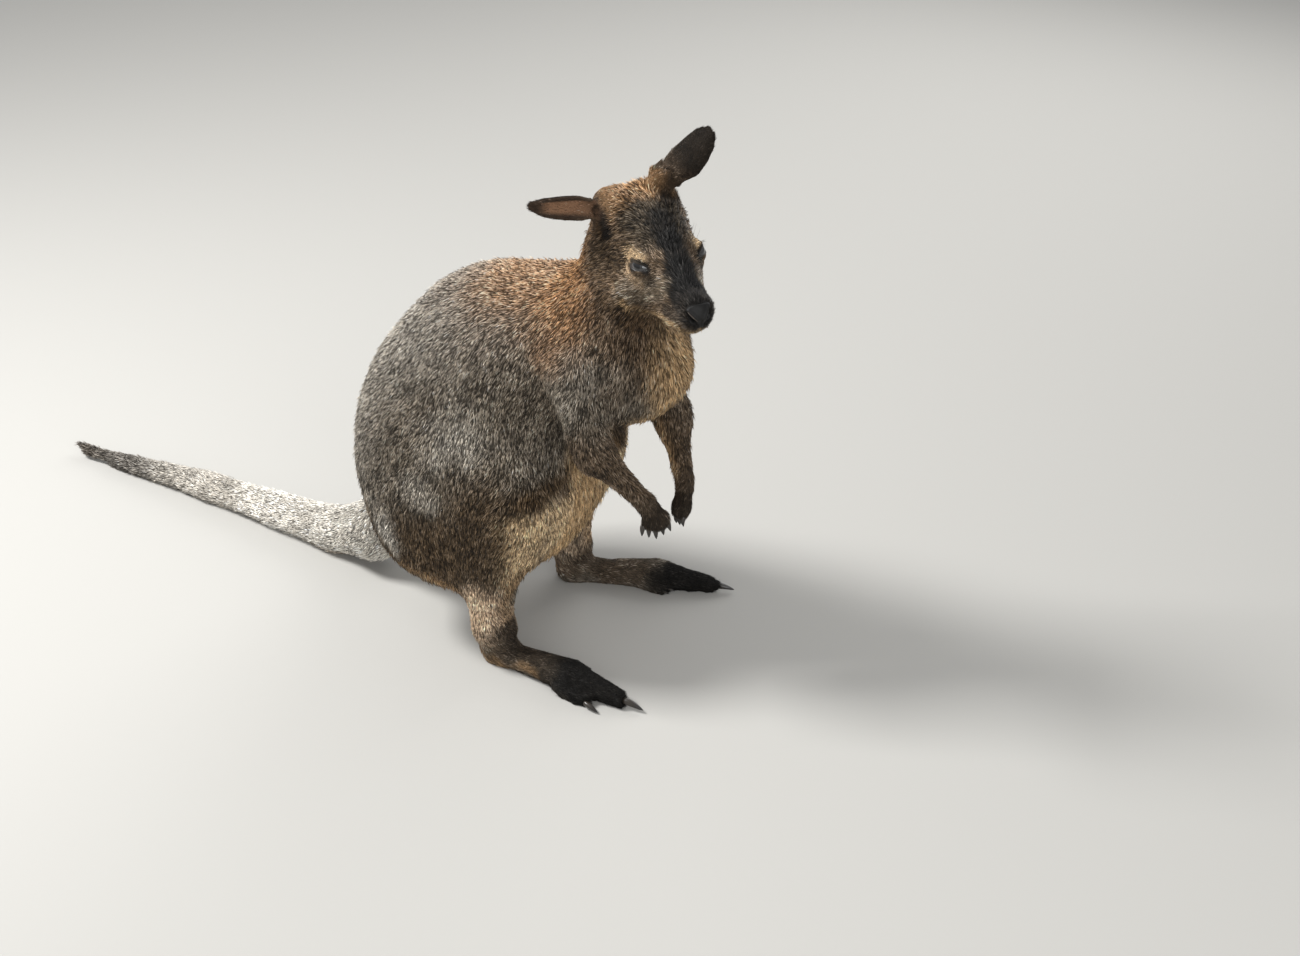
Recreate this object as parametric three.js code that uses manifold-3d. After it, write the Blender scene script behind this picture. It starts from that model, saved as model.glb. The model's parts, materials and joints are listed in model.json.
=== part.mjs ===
// A red-necked (Bennett's) wallaby, life size, sitting up on its hind feet and tail
// with its head turned to the right. Millimetres, +Z up, +X the way the body faces,
// +Y the animal's left. The body is one smooth field of eggs and tapered bones, out to
// the tips of the coat. It is meshed region by region and parted with thin cuts.
// The arms have a field of their own, and the ears, claws, fingers and small toes are
// lofted from rings.
import * as THREE from 'three';
import { mergeVertices } from 'three/addons/utils/BufferGeometryUtils.js';
import Module from 'manifold-3d';

const wasm = await Module();
wasm.setup();

// ---------------------------------------------------------------- sizes

const gap = 0.3;                       // between neighbouring pieces
const room = 1;                        // left where an arm or ear enters the coat
const socketGap = 0.5;                 // round the root of a claw, whose faces are flat
const placing = [201, -15, 0];         // from the body's own frame to the middle of its box

const body = {
  hipHeight: 215,
  hipX: -75,
  haunchHalfWidth: 92,
  loinHeight: 275,
  loinHalfWidth: 90,
  bellyHeight: 185,
  bellyHalfWidth: 76,
  chestBack: [36, 0, 332],
  chestBackRadius: 84,
  chestFront: [138, 0, 355],
  chestFrontRadius: 66,
  neckBase: [142, 0, 374],
  neckBaseRadius: 64,
  neckTop: [147, 2, 431],
  neckTopRadius: 41,
  nape: [83, 0, 384],
  napeRadius: 57,
  hindneckTop: [129, 2, 474],
  hindneckTopRadius: 27,
  hindneckBase: [126, 2, 438],
  hindneckBaseRadius: 32,
};

const leg = {
  stance: { right: 83, left: 90 },     // heel to the middle plane
  heelX: { right: 24, left: 17 },
  reach: { right: 1, left: 1.03 },     // lengthening of the foot, which is splayed
  footTurn: { right: -2, left: 17.3 },   // degrees, toes to the left
  thighMiddle: [-18, 68, 188],
  knee: [58, 90, 204],
  buttock: [-50, 70, 120],             // fur that hangs behind the lower leg
  buttockRadii: [56, 32, 42],
  ankle: [0, 0, 46],                   // from the heel
  ankleRadius: 23,
  cut: [26, 44, 106],                  // where the shank leaves the haunch
  cutSlope: 30,                        // degrees
  ankleCut: { place: [4, 0, 50], direction: [0.3, 0, -0.95] },
  thighCut: { ahead: 8, radii: [98, 88], tilt: -16, inner: 62 },
};

const head = {
  place: [193.8, -19.5, 482.2],        // between the eyes
  yaw: -38.3,
  pitch: 4.6,
  roll: 4.5,
  eye: (aside) => [8, aside, 2],
  eyeRadius: 12,
  eyeOut: 5,                           // how far the eyeball stands out of the coat
};

const hand = {
  fingerApart: 5.4,
  fingerLength: 11.5,
  fingerRadius: 4.8,
  pointing: { right: [-0.02, 0.1, -1], left: [-0.31, -0.16, -0.93] },
  spread: 0.11,                        // radians between fingers
  clawLength: 10.5,
  clawDepth: 1,                        // root of the claw inside the finger
  clawRadius: 2.3,
};

const ear = {
  length: 96,
  halfWidth: 13.8,
  wall: 4,
  buried: { right: 37, left: 27 },     // length of the root inside the head
};

const tail = {
  root: [-138, 6, 84],
  rootRadius: 45,
  bend: [-192, 9, 45],
  bendRadius: 36,
  ground: [[-250, 14], [-330, 20], [-460, 28], [-580, 30], [-673, 30]],
  radii: [26.5, 22, 17.5, 13, 8],
  cut: { place: [-172, 8, 70], direction: [-0.97, 0.03, -0.2], radius: 64 },
  joints: [-330, -505],                // where the tail is parted along X
};

// planes that part the trunk
const neckCut = { place: [128, 0, 392], direction: [0.4, 0, 0.9] };
const chestCut = { place: [60, 0, 262], direction: [0.62, 0, 0.78] };
const rumpCut = { place: [-52, 0, 200], direction: [-1, 0, 0.1] };

// size of the mesh cells in each region
const cells = {
  trunk: 33,
  upperArm: 19.3,
  forearm: 10.5,
  head: 11.5,
  shank: 16,
  foot: [17, 11, 9.5],
  tail: [38, 14.5, 14.5],
};

const colours = {
  back: '#6f5c4b',
  rufous: '#84603f',
  flank: '#6b6157',
  pale: '#b39c7d',
  dark: '#2c2421',
  claw: '#1d1a18',
  eye: '#120c08',
};

// ---------------------------------------------------------------- field

const vector = (x, y, z) => new THREE.Vector3(x, y, z);
const radians = THREE.MathUtils.degToRad;

// an ellipsoid turned by euler degrees
function egg(middle, radii, turn = [0, 0, 0]) {
  const centre = vector(...middle);
  const spin = new THREE.Matrix4()
    .makeRotationFromEuler(new THREE.Euler(...turn.map(radians), 'ZYX'))
    .invert();
  const local = vector();
  return {
    distance(p) {
      local.copy(p).sub(centre).applyMatrix4(spin);
      const [a, b, c] = [local.x / radii[0], local.y / radii[1], local.z / radii[2]];
      const k = Math.hypot(a, b, c);
      const slope = Math.hypot(a / radii[0], b / radii[1], c / radii[2]);
      return slope < 1e-6 ? -Math.min(...radii) : (k * (k - 1)) / slope;
    },
  };
}

// a tapered round bone from one ball to another, flattened along an axis if asked
function bone(from, to, fromRadius, toRadius, flat = null) {
  const squash = flat ? 1 / flat.by : 1;
  const axis = flat ? vector(...flat.along).normalize() : vector(0, 0, 1);
  const start = vector(...from);
  const run = vector(...to).sub(start);
  const stretch = (v) => v.addScaledVector(axis, v.dot(axis) * (squash - 1));
  stretch(run);
  const length = run.length();
  const drop = fromRadius - toRadius;
  const along = run.clone().divideScalar(length);
  const slant = Math.sqrt(Math.max(length * length - drop * drop, 1e-6));
  const local = vector();
  return {
    distance(p) {
      stretch(local.copy(p).sub(start));
      const u = local.dot(along);
      const v = Math.sqrt(Math.max(local.lengthSq() - u * u, 0));
      const shift = u + (v * drop) / slant;       // foot of the perpendicular on the cone
      const t = Math.min(Math.max(shift / length, 0), 1);
      const d = Math.hypot(v, u - t * length) - fromRadius + t * drop;
      return d / Math.max(squash, 1);
    },
  };
}

// smooth union of shapes, each with its own width of blend
function blend(shapes) {
  return (p) => {
    let d = Infinity;
    for (const { shape, soft } of shapes) {
      const e = shape.distance(p);
      const h = Math.max(soft - Math.abs(d - e), 0) / soft;
      d = Number.isFinite(d) ? Math.min(d, e) - (h * h * soft) / 4 : e;
    }
    return d;
  };
}

const soft = (width, ...list) => list.map((shape) => ({ shape, soft: width }));

// ---------------------------------------------------------------- meshing

const corners = [0, 1, 2, 3, 4, 5, 6, 7].map((i) => [i & 1, (i >> 1) & 1, i >> 2]);
const cubeEdges = [];
corners.forEach((a, i) => corners.forEach((b, j) => {
  const steps = Math.abs(a[0] - b[0]) + Math.abs(a[1] - b[1]) + Math.abs(a[2] - b[2]);
  if (j > i && steps === 1) cubeEdges.push([i, j]);
}));

// closed mesh of field = level inside a box, one vertex to a cell, drawn onto the surface
function wrap(field, [low, high], cell, level = 0) {
  const step = typeof cell === 'number' ? [cell, cell, cell] : cell;
  const count = [0, 1, 2].map((i) => Math.ceil((high[i] - low[i]) / step[i]) + 3);
  const at = (i, j, k) => i + count[0] * (j + count[1] * k);
  const values = new Float32Array(count[0] * count[1] * count[2]);
  const p = vector();
  const inBox = (q) => Math.max(
    low[0] - q.x, q.x - high[0], low[1] - q.y, q.y - high[1], low[2] - q.z, q.z - high[2],
  );
  const sample = (q) => Math.max(field(q) - level, inBox(q));
  const place = (i, j, k) => p.set(
    low[0] + (i - 1) * step[0], low[1] + (j - 1) * step[1], low[2] + (k - 1) * step[2],
  );
  for (let k = 0; k < count[2]; k++) {
    for (let j = 0; j < count[1]; j++) {
      for (let i = 0; i < count[0]; i++) values[at(i, j, k)] = sample(place(i, j, k));
    }
  }

  const vertices = [];
  const vertexOf = new Map();
  const slope = vector();
  const probe = vector();
  const reach = Math.max(...step) * 0.45;
  const settle = (v) => {                          // Newton steps along the slope
    const began = v.clone();
    for (let turn = 0; turn < 4; turn++) {
      const here = sample(v);
      const h = 0.4;
      slope.set(
        sample(probe.set(v.x + h, v.y, v.z)) - here,
        sample(probe.set(v.x, v.y + h, v.z)) - here,
        sample(probe.set(v.x, v.y, v.z + h)) - here,
      ).divideScalar(h);
      v.addScaledVector(slope, -here / Math.max(slope.lengthSq(), 0.2));
    }
    const moved = v.clone().sub(began);
    if (moved.length() > reach) v.copy(began).addScaledVector(moved.normalize(), reach);
    return v;
  };
  for (let k = 0; k < count[2] - 1; k++) {
    for (let j = 0; j < count[1] - 1; j++) {
      for (let i = 0; i < count[0] - 1; i++) {
        const corner = corners.map(([a, b, c]) => values[at(i + a, j + b, k + c)]);
        const inside = corner.filter((d) => d < 0).length;
        if (inside === 0 || inside === 8) continue;
        const sum = vector();
        let crossings = 0;
        for (const [a, b] of cubeEdges) {
          if ((corner[a] < 0) === (corner[b] < 0)) continue;
          const t = corner[a] / (corner[a] - corner[b]);
          const [ca, cb] = [corners[a], corners[b]];
          sum.add(vector(...[0, 1, 2].map((n) => ca[n] + t * (cb[n] - ca[n]))));
          crossings++;
        }
        sum.divideScalar(crossings);
        const v = place(i, j, k).clone().add(sum.multiply(vector(...step)));
        vertexOf.set(at(i, j, k), vertices.length);
        vertices.push(settle(v));
      }
    }
  }

  const faces = [];
  const quad = (a, b, c, d, flip) => {
    const ring = flip ? [a, d, c, b] : [a, b, c, d];
    const [p0, p1, p2, p3] = ring.map((n) => vertices[n]);
    if (p0.distanceTo(p2) < p1.distanceTo(p3)) {
      faces.push(ring[0], ring[1], ring[2], ring[0], ring[2], ring[3]);
    } else {
      faces.push(ring[0], ring[1], ring[3], ring[1], ring[2], ring[3]);
    }
  };
  for (let k = 1; k < count[2] - 1; k++) {
    for (let j = 1; j < count[1] - 1; j++) {
      for (let i = 1; i < count[0] - 1; i++) {
        const here = values[at(i, j, k)] < 0;
        const cellAt = (a, b, c) => vertexOf.get(at(i + a, j + b, k + c));
        if (here !== values[at(i + 1, j, k)] < 0) {
          quad(cellAt(0, -1, -1), cellAt(0, 0, -1), cellAt(0, 0, 0), cellAt(0, -1, 0), !here);
        }
        if (here !== values[at(i, j + 1, k)] < 0) {
          quad(cellAt(-1, 0, -1), cellAt(-1, 0, 0), cellAt(0, 0, 0), cellAt(0, 0, -1), !here);
        }
        if (here !== values[at(i, j, k + 1)] < 0) {
          quad(cellAt(-1, -1, 0), cellAt(0, -1, 0), cellAt(0, 0, 0), cellAt(-1, 0, 0), !here);
        }
      }
    }
  }
  const geometry = new THREE.BufferGeometry();
  geometry.setAttribute('position', new THREE.Float32BufferAttribute(
    vertices.flatMap((v) => [v.x, v.y, v.z]), 3,
  ));
  geometry.setIndex(faces);
  return geometry;
}

// ---------------------------------------------------------------- solids

function solid(geometry) {
  const bare = geometry.clone();
  bare.deleteAttribute('normal');
  bare.deleteAttribute('uv');
  const merged = mergeVertices(bare, 1e-4);
  return new wasm.Manifold(new wasm.Mesh({
    numProp: 3,
    vertProperties: new Float32Array(merged.attributes.position.array),
    triVerts: new Uint32Array(merged.index.array),
  }));
}

function geometryOf(manifold) {
  const mesh = manifold.getMesh();
  const geometry = new THREE.BufferGeometry();
  geometry.setAttribute('position', new THREE.BufferAttribute(
    new Float32Array(mesh.vertProperties), 3,
  ));
  geometry.setIndex(new THREE.BufferAttribute(new Uint32Array(mesh.triVerts), 1));
  return geometry;
}

// everything on the far side of a plane through a point, as one large block
function beyond(point, direction, grown = 0) {
  const size = 1600;
  const block = new THREE.BoxGeometry(size, size, size);
  block.translate(0, 0, size / 2 - grown);
  const turn = new THREE.Quaternion()
    .setFromUnitVectors(vector(0, 0, 1), vector(...direction).normalize());
  block.applyQuaternion(turn);
  block.translate(...point);
  return solid(block);
}

// the piece beyond a plane, and what is left on this side of it
function part(piece, point, direction) {
  return [
    piece.intersect(beyond(point, direction)),
    piece.subtract(beyond(point, direction, gap)),
  ];
}

// stacked rings of points, joined into a closed skin with a fan at each end
function loft(rings) {
  const around = rings[0].length;
  const points = rings.flat();
  const faces = [];
  for (let i = 0; i + 1 < rings.length; i++) {
    for (let j = 0; j < around; j++) {
      const [a, b] = [i * around + j, i * around + ((j + 1) % around)];
      faces.push(a, b, b + around, a, b + around, a + around);
    }
  }
  const fan = (ring, flip) => {
    const base = ring * around;
    const contour = rings[ring];
    const middle = contour.reduce((sum, q) => sum.add(q), vector()).divideScalar(around);
    points.push(middle);
    const tip = points.length - 1;
    for (let j = 0; j < around; j++) {
      const [a, b] = [base + j, base + ((j + 1) % around)];
      faces.push(...(flip ? [tip, b, a] : [tip, a, b]));
    }
  };
  fan(0, true);
  fan(rings.length - 1, false);
  const geometry = new THREE.BufferGeometry();
  geometry.setAttribute('position', new THREE.Float32BufferAttribute(
    points.flatMap((v) => [v.x, v.y, v.z]), 3,
  ));
  geometry.setIndex(faces);
  return geometry;
}

// a rod with round ends, of the radii given from its start to its end
function rod(from, to, fromRadius, toRadius, around = 5) {
  const start = vector(...from);
  const way = vector(...to).sub(start);
  const length = way.length();
  way.normalize();
  const side = vector(0, 0, 1).cross(way).normalize();
  const up = way.clone().cross(side);
  const stations = [
    [-fromRadius * 0.75, fromRadius * 0.6], [0, fromRadius],
    [length, toRadius], [length + toRadius * 0.75, toRadius * 0.6],
  ];
  return solid(loft(stations.map(([s, r]) =>
    ringAt(start.clone().addScaledVector(way, s), side, up, r, around))));
}

function ringAt(middle, side, up, radius, around) {
  return Array.from({ length: around }, (_, j) => {
    const angle = (2 * Math.PI * j) / around;
    return middle.clone().addScaledVector(side, radius * Math.cos(angle))
      .addScaledVector(up, radius * Math.sin(angle));
  });
}

// a curved, tapering claw that bends towards the side `down`
function claw(root, towards, down, length, radius, hook, grown = 0) {
  const way = vector(...towards).normalize();
  const drop = vector(...down);
  drop.addScaledVector(way, -drop.dot(way)).normalize();
  const side = way.clone().cross(drop);
  const start = vector(...root).addScaledVector(way, -grown);
  const rings = [];
  for (const [t, taper] of [[0, 0.9], [0.5, 0.85], [1, 0.16]]) {
    const middle = start.clone().addScaledVector(way, length * t)
      .addScaledVector(drop, hook * length * t * t);
    const lean = drop.clone().addScaledVector(way, -2 * hook * t).normalize();
    rings.push(ringAt(middle, lean, side, radius * taper + grown, 5));
  }
  return solid(loft(rings));
}

const sides = { right: -1, left: 1 };
const group = new THREE.Group();
group.position.set(...placing);

function add(name, manifold, colour, roughness = 0.9) {
  const material = new THREE.MeshStandardMaterial({ color: colour, roughness, metalness: 0 });
  const mesh = new THREE.Mesh(geometryOf(manifold), material);
  mesh.name = name;
  group.add(mesh);
}

// ---------------------------------------------------------------- trunk

const trunkShapes = soft(44,
  egg([body.hipX, 0, body.hipHeight], [98, body.haunchHalfWidth, 116], [0, 12, 0]),
  egg([-18, 0, body.loinHeight], [116, body.loinHalfWidth, 146], [0, 20, 0]),
  egg([14, 0, body.bellyHeight], [84, body.bellyHalfWidth, 108], [0, 10, 0]),
  bone(body.chestBack, body.chestFront, body.chestBackRadius, body.chestFrontRadius),
  bone(body.neckBase, body.neckTop, body.neckBaseRadius, body.neckTopRadius),
  bone(body.nape, body.neckTop, body.napeRadius, body.neckTopRadius));

// ---------------------------------------------------------------- legs and feet

// a point on a foot, from its heel: forward along the foot, aside towards the outer edge
function footPoint(name, forward, aside, up) {
  const side = sides[name];
  const turn = radians(leg.footTurn[name]);
  const ahead = forward * leg.reach[name];
  return [
    leg.heelX[name] + ahead * Math.cos(turn) - side * aside * Math.sin(turn),
    side * leg.stance[name] + ahead * Math.sin(turn) + side * aside * Math.cos(turn),
    up,
  ];
}

const longToes = {
  fourth: { from: [100, 0, 15.4], to: [160, 0, 8.6], radii: [18, 10.5], claw: [24, 5.2] },
  fifth: { from: [92, 14, 9], to: [126, 21, 6], radii: [11, 7.5], claw: [19, 4.2] },
};
const smallToes = {
  third: { from: [80, -9, 9], to: [112, -13, 5], radii: [5.5, 4.5], claw: [9, 1.9] },
  second: { from: [78, -12, 8], to: [107, -18.5, 4.6], radii: [5.5, 4.5], claw: [9, 1.9] },
};

const legShapes = Object.entries(sides).flatMap(([name, side]) => {
  const [thighX, thighY, thighZ] = leg.thighMiddle;
  const [kneeX, kneeY, kneeZ] = leg.knee;
  const [buttockX, buttockY, buttockZ] = leg.buttock;
  const on = (...place) => footPoint(name, ...place);
  const flat = { along: [0, 0, 1], by: 0.92 };
  const toes = Object.values(longToes).map((toe) =>
    bone(on(...toe.from), on(...toe.to), toe.radii[0], toe.radii[1], flat));
  return [
    ...soft(50,
      egg([thighX, side * thighY, thighZ], [110, 46, 96], [0, -16, 0]),
      egg([kneeX - 16, side * kneeY, kneeZ + 4], [42, 28, 36], [0, -10, 0]),
      egg([buttockX, side * buttockY, buttockZ], leg.buttockRadii, [0, 12, 0])),
    ...soft(24,
      bone([kneeX - 26, side * (kneeY - 2), kneeZ - 24], on(...leg.ankle), 31, leg.ankleRadius)),
    ...soft(16,
      bone(on(2, -3, 13), on(6, -1, 40), 14, 19),
      bone(on(2, -3, 11.4), on(100, 0, 15.8), 13.5, 18.5, flat)),
    ...soft(4, ...toes),
  ];
});

// ---------------------------------------------------------------- tail

const groundTail = tail.ground.map(([x, y], i) => [x, y, tail.radii[i] * 0.93]);
const tailPath = [tail.root, tail.bend, ...groundTail];
const tailRadii = [tail.rootRadius, tail.bendRadius, ...tail.radii];
const tailShapes = tailPath.slice(1).flatMap((point, i) => soft(i === 0 ? 40 : 10,
  bone(tailPath[i], point, tailRadii[i], tailRadii[i + 1])));

// ---------------------------------------------------------------- head

const headFrame = new THREE.Matrix4().makeRotationFromEuler(
  new THREE.Euler(radians(head.roll), radians(head.pitch), radians(head.yaw), 'ZYX'),
);
const headTurn = (x, y, z) => vector(x, y, z).applyMatrix4(headFrame);
const onHead = (x, y, z) => headTurn(x, y, z).add(vector(...head.place)).toArray();
const headEgg = (middle, radii, pitch = 0) =>
  egg(onHead(...middle), radii, [head.roll, head.pitch + pitch, head.yaw]);

const headShapes = [
  ...soft(18,
    headEgg([-38, 0, 7], [42, 37, 37], 6),
    headEgg([-2, 0, 0], [38, 29, 28], 12),
    bone(onHead(12, 0, -13), onHead(60, 0, -22), 27, 19)),
  ...soft(14,
    ...Object.values(sides).map((side) => headEgg([-12, side * 20, -18], [30, 17, 24])),
    ...Object.values(sides).map((side) => headEgg([-55, side * 25, 24], [18, 15, 17])),
    bone(onHead(-58, -30, 34), onHead(-58, 8, 36), 16, 14),
    bone(onHead(-50, 14, 42), onHead(-46, 20, 64), 11, 6),
    bone(onHead(-14, 0, -26), onHead(56, 0, -37), 20, 11),
    ...Object.values(sides).map((side) =>
      bone(onHead(-18, side * 21, -34), onHead(48, side * 8, -35), 15, 12)),
    headEgg([67, 0, -22], [11, 14, 13], 10)),
  ...soft(24,
    bone(onHead(-46, 0, -8), body.neckTop, 34, 39),
    bone(body.hindneckTop, body.hindneckBase, body.hindneckTopRadius, body.hindneckBaseRadius)),
];

const flesh = blend([...trunkShapes, ...legShapes, ...tailShapes, ...headShapes]);

// ---------------------------------------------------------------- trunk, neck and thighs

const trunkBox = [[-260, -140, 20], [260, 140, 520]];
const neckPlane = { point: onHead(-30, 0, -32), direction: headTurn(0.59, 0, 0.81).toArray() };
const floor = beyond([0, 0, 0], [0, 0, -1]);

// the block that takes one lower leg and foot out of the trunk
function legBlock(side, grown = 0) {
  const [length, width, height] = [560, 220, 300];
  const block = new THREE.BoxGeometry(length + 2 * grown, width + 2 * grown, height + 2 * grown);
  block.translate(0, 0, -height / 2);
  block.rotateY(radians(-leg.cutSlope));
  block.translate(leg.cut[0], side * (leg.cut[1] + width / 2), leg.cut[2]);
  return solid(block);
}

// the round block that takes the tail out of the rump
function tailBlock(grown = 0) {
  const length = 700;
  const radius = tail.cut.radius + grown;
  const block = new THREE.CylinderGeometry(radius, radius, length, 24);
  block.translate(0, length / 2 - grown, 0);
  block.applyQuaternion(new THREE.Quaternion()
    .setFromUnitVectors(vector(0, 1, 0), vector(...tail.cut.direction).normalize()));
  block.translate(...tail.cut.place);
  return solid(block);
}

// the oval plug that takes one thigh out of the flank
function thighPlug(side, grown = 0) {
  const { ahead, radii, tilt, inner } = leg.thighCut;
  const depth = 200;
  const shape = new THREE.CylinderGeometry(1, 1, depth, 28);
  shape.scale(radii[0] + grown, 1, radii[1] + grown);
  shape.rotateY(radians(tilt));
  const [x, , z] = leg.thighMiddle;
  shape.translate(x + ahead, side * (inner - grown + depth / 2), z);
  return solid(shape);
}

let trunk = solid(wrap(flesh, trunkBox, cells.trunk));
trunk = trunk.subtract(beyond(neckPlane.point, neckPlane.direction, gap));
trunk = trunk.subtract(tailBlock(gap)).subtract(floor);
for (const side of Object.values(sides)) trunk = trunk.subtract(legBlock(side, gap));

const arms = {};
for (const [name, side] of Object.entries(sides)) {
  const lower = name === 'left' ? 1 : 0;
  const shoulder = vector(118, side * 58, 360 - 8 * lower);
  const elbow = vector(142 + 14 * lower, side * 71, 287 - 26 * lower);
  const wrist = vector(184 + 5 * lower, side * 38, 220 - 20 * lower);
  const knuckles = vector(191 - 3.5 * lower, side * (32 + 1.5 * lower), 201 - 22 * lower);
  const down = vector(...hand.pointing[name]).normalize();
  arms[name] = { side, shoulder, elbow, wrist, knuckles, down };
}

const fingers = [-2, -1, 0, 1, 2];
function acrossHand({ side, down }) {
  const across = vector(0.75, -side * 0.66, 0);
  return across.addScaledVector(down, -across.dot(down)).normalize();
}

function fingerOf(arm, n) {
  const { down } = arm;
  const across = acrossHand(arm);
  const spread = hand.spread * n;
  const way = down.clone().multiplyScalar(Math.cos(spread))
    .addScaledVector(across, Math.sin(spread)).normalize();
  const root = arm.knuckles.clone().addScaledVector(across, hand.fingerApart * n)
    .addScaledVector(down, 2 - 1.5 * Math.abs(n));
  const length = hand.fingerLength - 1.8 * Math.abs(n);
  const tip = root.clone().addScaledVector(way, length);
  return { root, tip, way, across };
}

function armField(arm) {
  const flat = { along: arm.down.clone().cross(acrossHand(arm)).toArray(), by: 0.66 };
  const [s, e, w, k] = [arm.shoulder, arm.elbow, arm.wrist, arm.knuckles].map((v) => v.toArray());
  return blend([
    ...soft(20, bone(s, e, 34, 20), bone(e, w, 18, 10.5)),
    ...soft(8, bone(w, k, 11.5, 18, flat)),
  ]);
}

function boxAround(points, margin) {
  const box = new THREE.Box3().setFromPoints(points).expandByScalar(margin);
  return [box.min.toArray(), box.max.toArray()];
}

for (const arm of Object.values(arms)) {
  arm.field = armField(arm);
  const upperBox = boxAround([arm.shoulder, arm.elbow], 42);
  arm.fore = arm.wrist.clone().sub(arm.elbow).normalize();
  arm.bend = arm.elbow.clone().addScaledVector(arm.fore, 10).toArray();
  const upper = solid(wrap(arm.field, upperBox, cells.upperArm));
  const socket = solid(wrap(arm.field, upperBox, cells.upperArm, room));
  arm.upper = upper.subtract(beyond(arm.bend, arm.fore.toArray(), gap));
  trunk = trunk.subtract(socket);
}

const [neck, below] = part(trunk, neckCut.place, neckCut.direction);
let torso = below;
const thighs = {};
for (const [name, side] of Object.entries(sides)) {
  thighs[name] = torso.intersect(thighPlug(side));
  torso = torso.subtract(thighPlug(side, gap));
}
const [chest, abdomen] = part(torso, chestCut.place, chestCut.direction);
const [rump, belly] = part(abdomen, rumpCut.place, rumpCut.direction);
add('neck', neck, colours.rufous);
add('chest', chest, colours.rufous);
add('belly', belly, colours.pale);
add('rump', rump, colours.flank);
for (const name of Object.keys(sides)) add(`thigh_${name}`, thighs[name], colours.back);

// ---------------------------------------------------------------- forearms, hands

for (const [name, arm] of Object.entries(arms)) {
  add(`upper_arm_${name}`, arm.upper, colours.rufous);
  const tips = fingers.map((n) => fingerOf(arm, n).tip);
  const box = boxAround([arm.elbow, arm.wrist, arm.knuckles, ...tips], 26);
  const lower = solid(wrap(arm.field, box, cells.forearm))
    .intersect(beyond(arm.bend, arm.fore.toArray()));
  const palmWay = arm.knuckles.clone().sub(arm.wrist).normalize();
  const cuff = arm.wrist.clone().addScaledVector(palmWay, -2).toArray();
  const [palm, forearm] = part(lower, cuff, palmWay.toArray());
  add(`forearm_${name}`, forearm, colours.back);
  let whole = palm;
  const claws = [];
  for (const n of fingers) {
    const { root, tip, way, across } = fingerOf(arm, n);
    const back = across.clone().cross(way).multiplyScalar(arm.side);
    whole = whole.add(rod(root.toArray(), tip.toArray(), hand.fingerRadius, hand.fingerRadius - 1));
    const end = tip.clone().addScaledVector(way, -hand.clawDepth);
    const length = hand.clawLength + hand.clawDepth;
    const shape = [end.toArray(), way.toArray(), back.toArray(), length, hand.clawRadius, 0.3];
    whole = whole.subtract(claw(...shape, socketGap));
    claws.push(claw(...shape));
  }
  add(`hand_${name}`, whole, colours.dark);
  claws.forEach((piece, i) => add(`claw_hand_${name}_${i + 1}`, piece, colours.claw, 0.45));
}

// ---------------------------------------------------------------- head, eyes, ears

const headBox = [[70, -130, 380], [320, 90, 600]];
// the middle of an eyeball that stands a little out of the coat
function eyePlace(side) {
  let aside = head.eyeRadius;
  const at = () => onHead(...head.eye(side * aside));
  while (flesh(vector(...at())) < head.eyeOut - head.eyeRadius) aside += 0.1;
  return at();
}

let headPiece = solid(wrap(flesh, headBox, cells.head))
  .intersect(beyond(neckPlane.point, neckPlane.direction));
for (const [name, side] of Object.entries(sides)) {
  const place = eyePlace(side);
  const ball = (grown) => {
    const shape = new THREE.SphereGeometry(head.eyeRadius + grown, 10, 7);
    shape.translate(...place);
    return solid(shape);
  };
  headPiece = headPiece.subtract(ball(gap));
  add(`eye_${name}`, ball(0), colours.eye, 0.08);
}

// a leaf of an ear, rolled into a tube at its base and opening towards its tip
function earShape(root, towards, open) {
  const along = vector(...towards).normalize();
  const facing = vector(...open);
  facing.addScaledVector(along, -facing.dot(along)).normalize();
  const across = facing.clone().cross(along);
  const rings = [];
  const [steps, around] = [8, 6];
  for (let i = 0; i <= steps; i++) {
    const t = i / steps;
    const leaf = ear.halfWidth * Math.sqrt(Math.max(1 - ((t - 0.36) / 0.66) ** 2, 0.02)) + 1;
    const half = THREE.MathUtils.lerp(1.75, 0.95, Math.min(t * 1.9, 1));
    const radius = (leaf * 1.25) / half;
    const axis = vector(...root).addScaledVector(along, ear.length * t);
    const at = (angle, r) => axis.clone()
      .addScaledVector(facing, radius - r * Math.cos(angle))
      .addScaledVector(across, r * Math.sin(angle));
    const wall = Math.min(ear.wall, radius * 0.5);
    const ring = [];
    for (let j = 0; j <= around; j++) ring.push(at(half * (2 * (j / around) - 1), radius));
    for (let j = around; j >= 0; j--) ring.push(at(half * (2 * (j / around) - 1), radius - wall));
    rings.push(ring);
  }
  return solid(loft(rings));
}

const earWays = {
  right: { root: [-53, -9, 33], towards: [-0.27, -0.96, 0.09], open: [0.85, 0, -0.2] },
  left: { root: [-55, 10, 29], towards: [0.34, 0.52, 0.78], open: [-0.35, 0.9, -0.25] },
};
const grownHead = solid(wrap(flesh, headBox, cells.head, room));
for (const [name, { root, towards, open }] of Object.entries(earWays)) {
  const along = headTurn(...towards);
  const place = onHead(...root);
  const piece = earShape(place, along.toArray(), headTurn(...open).toArray());
  const start = vector(...place).addScaledVector(along, ear.buried[name]).toArray();
  const clear = piece.subtract(grownHead).intersect(beyond(start, along.toArray()));
  add(`ear_${name}`, clear, colours.dark);
}
add('head', headPiece, colours.rufous);

// ---------------------------------------------------------------- shanks and feet

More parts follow.
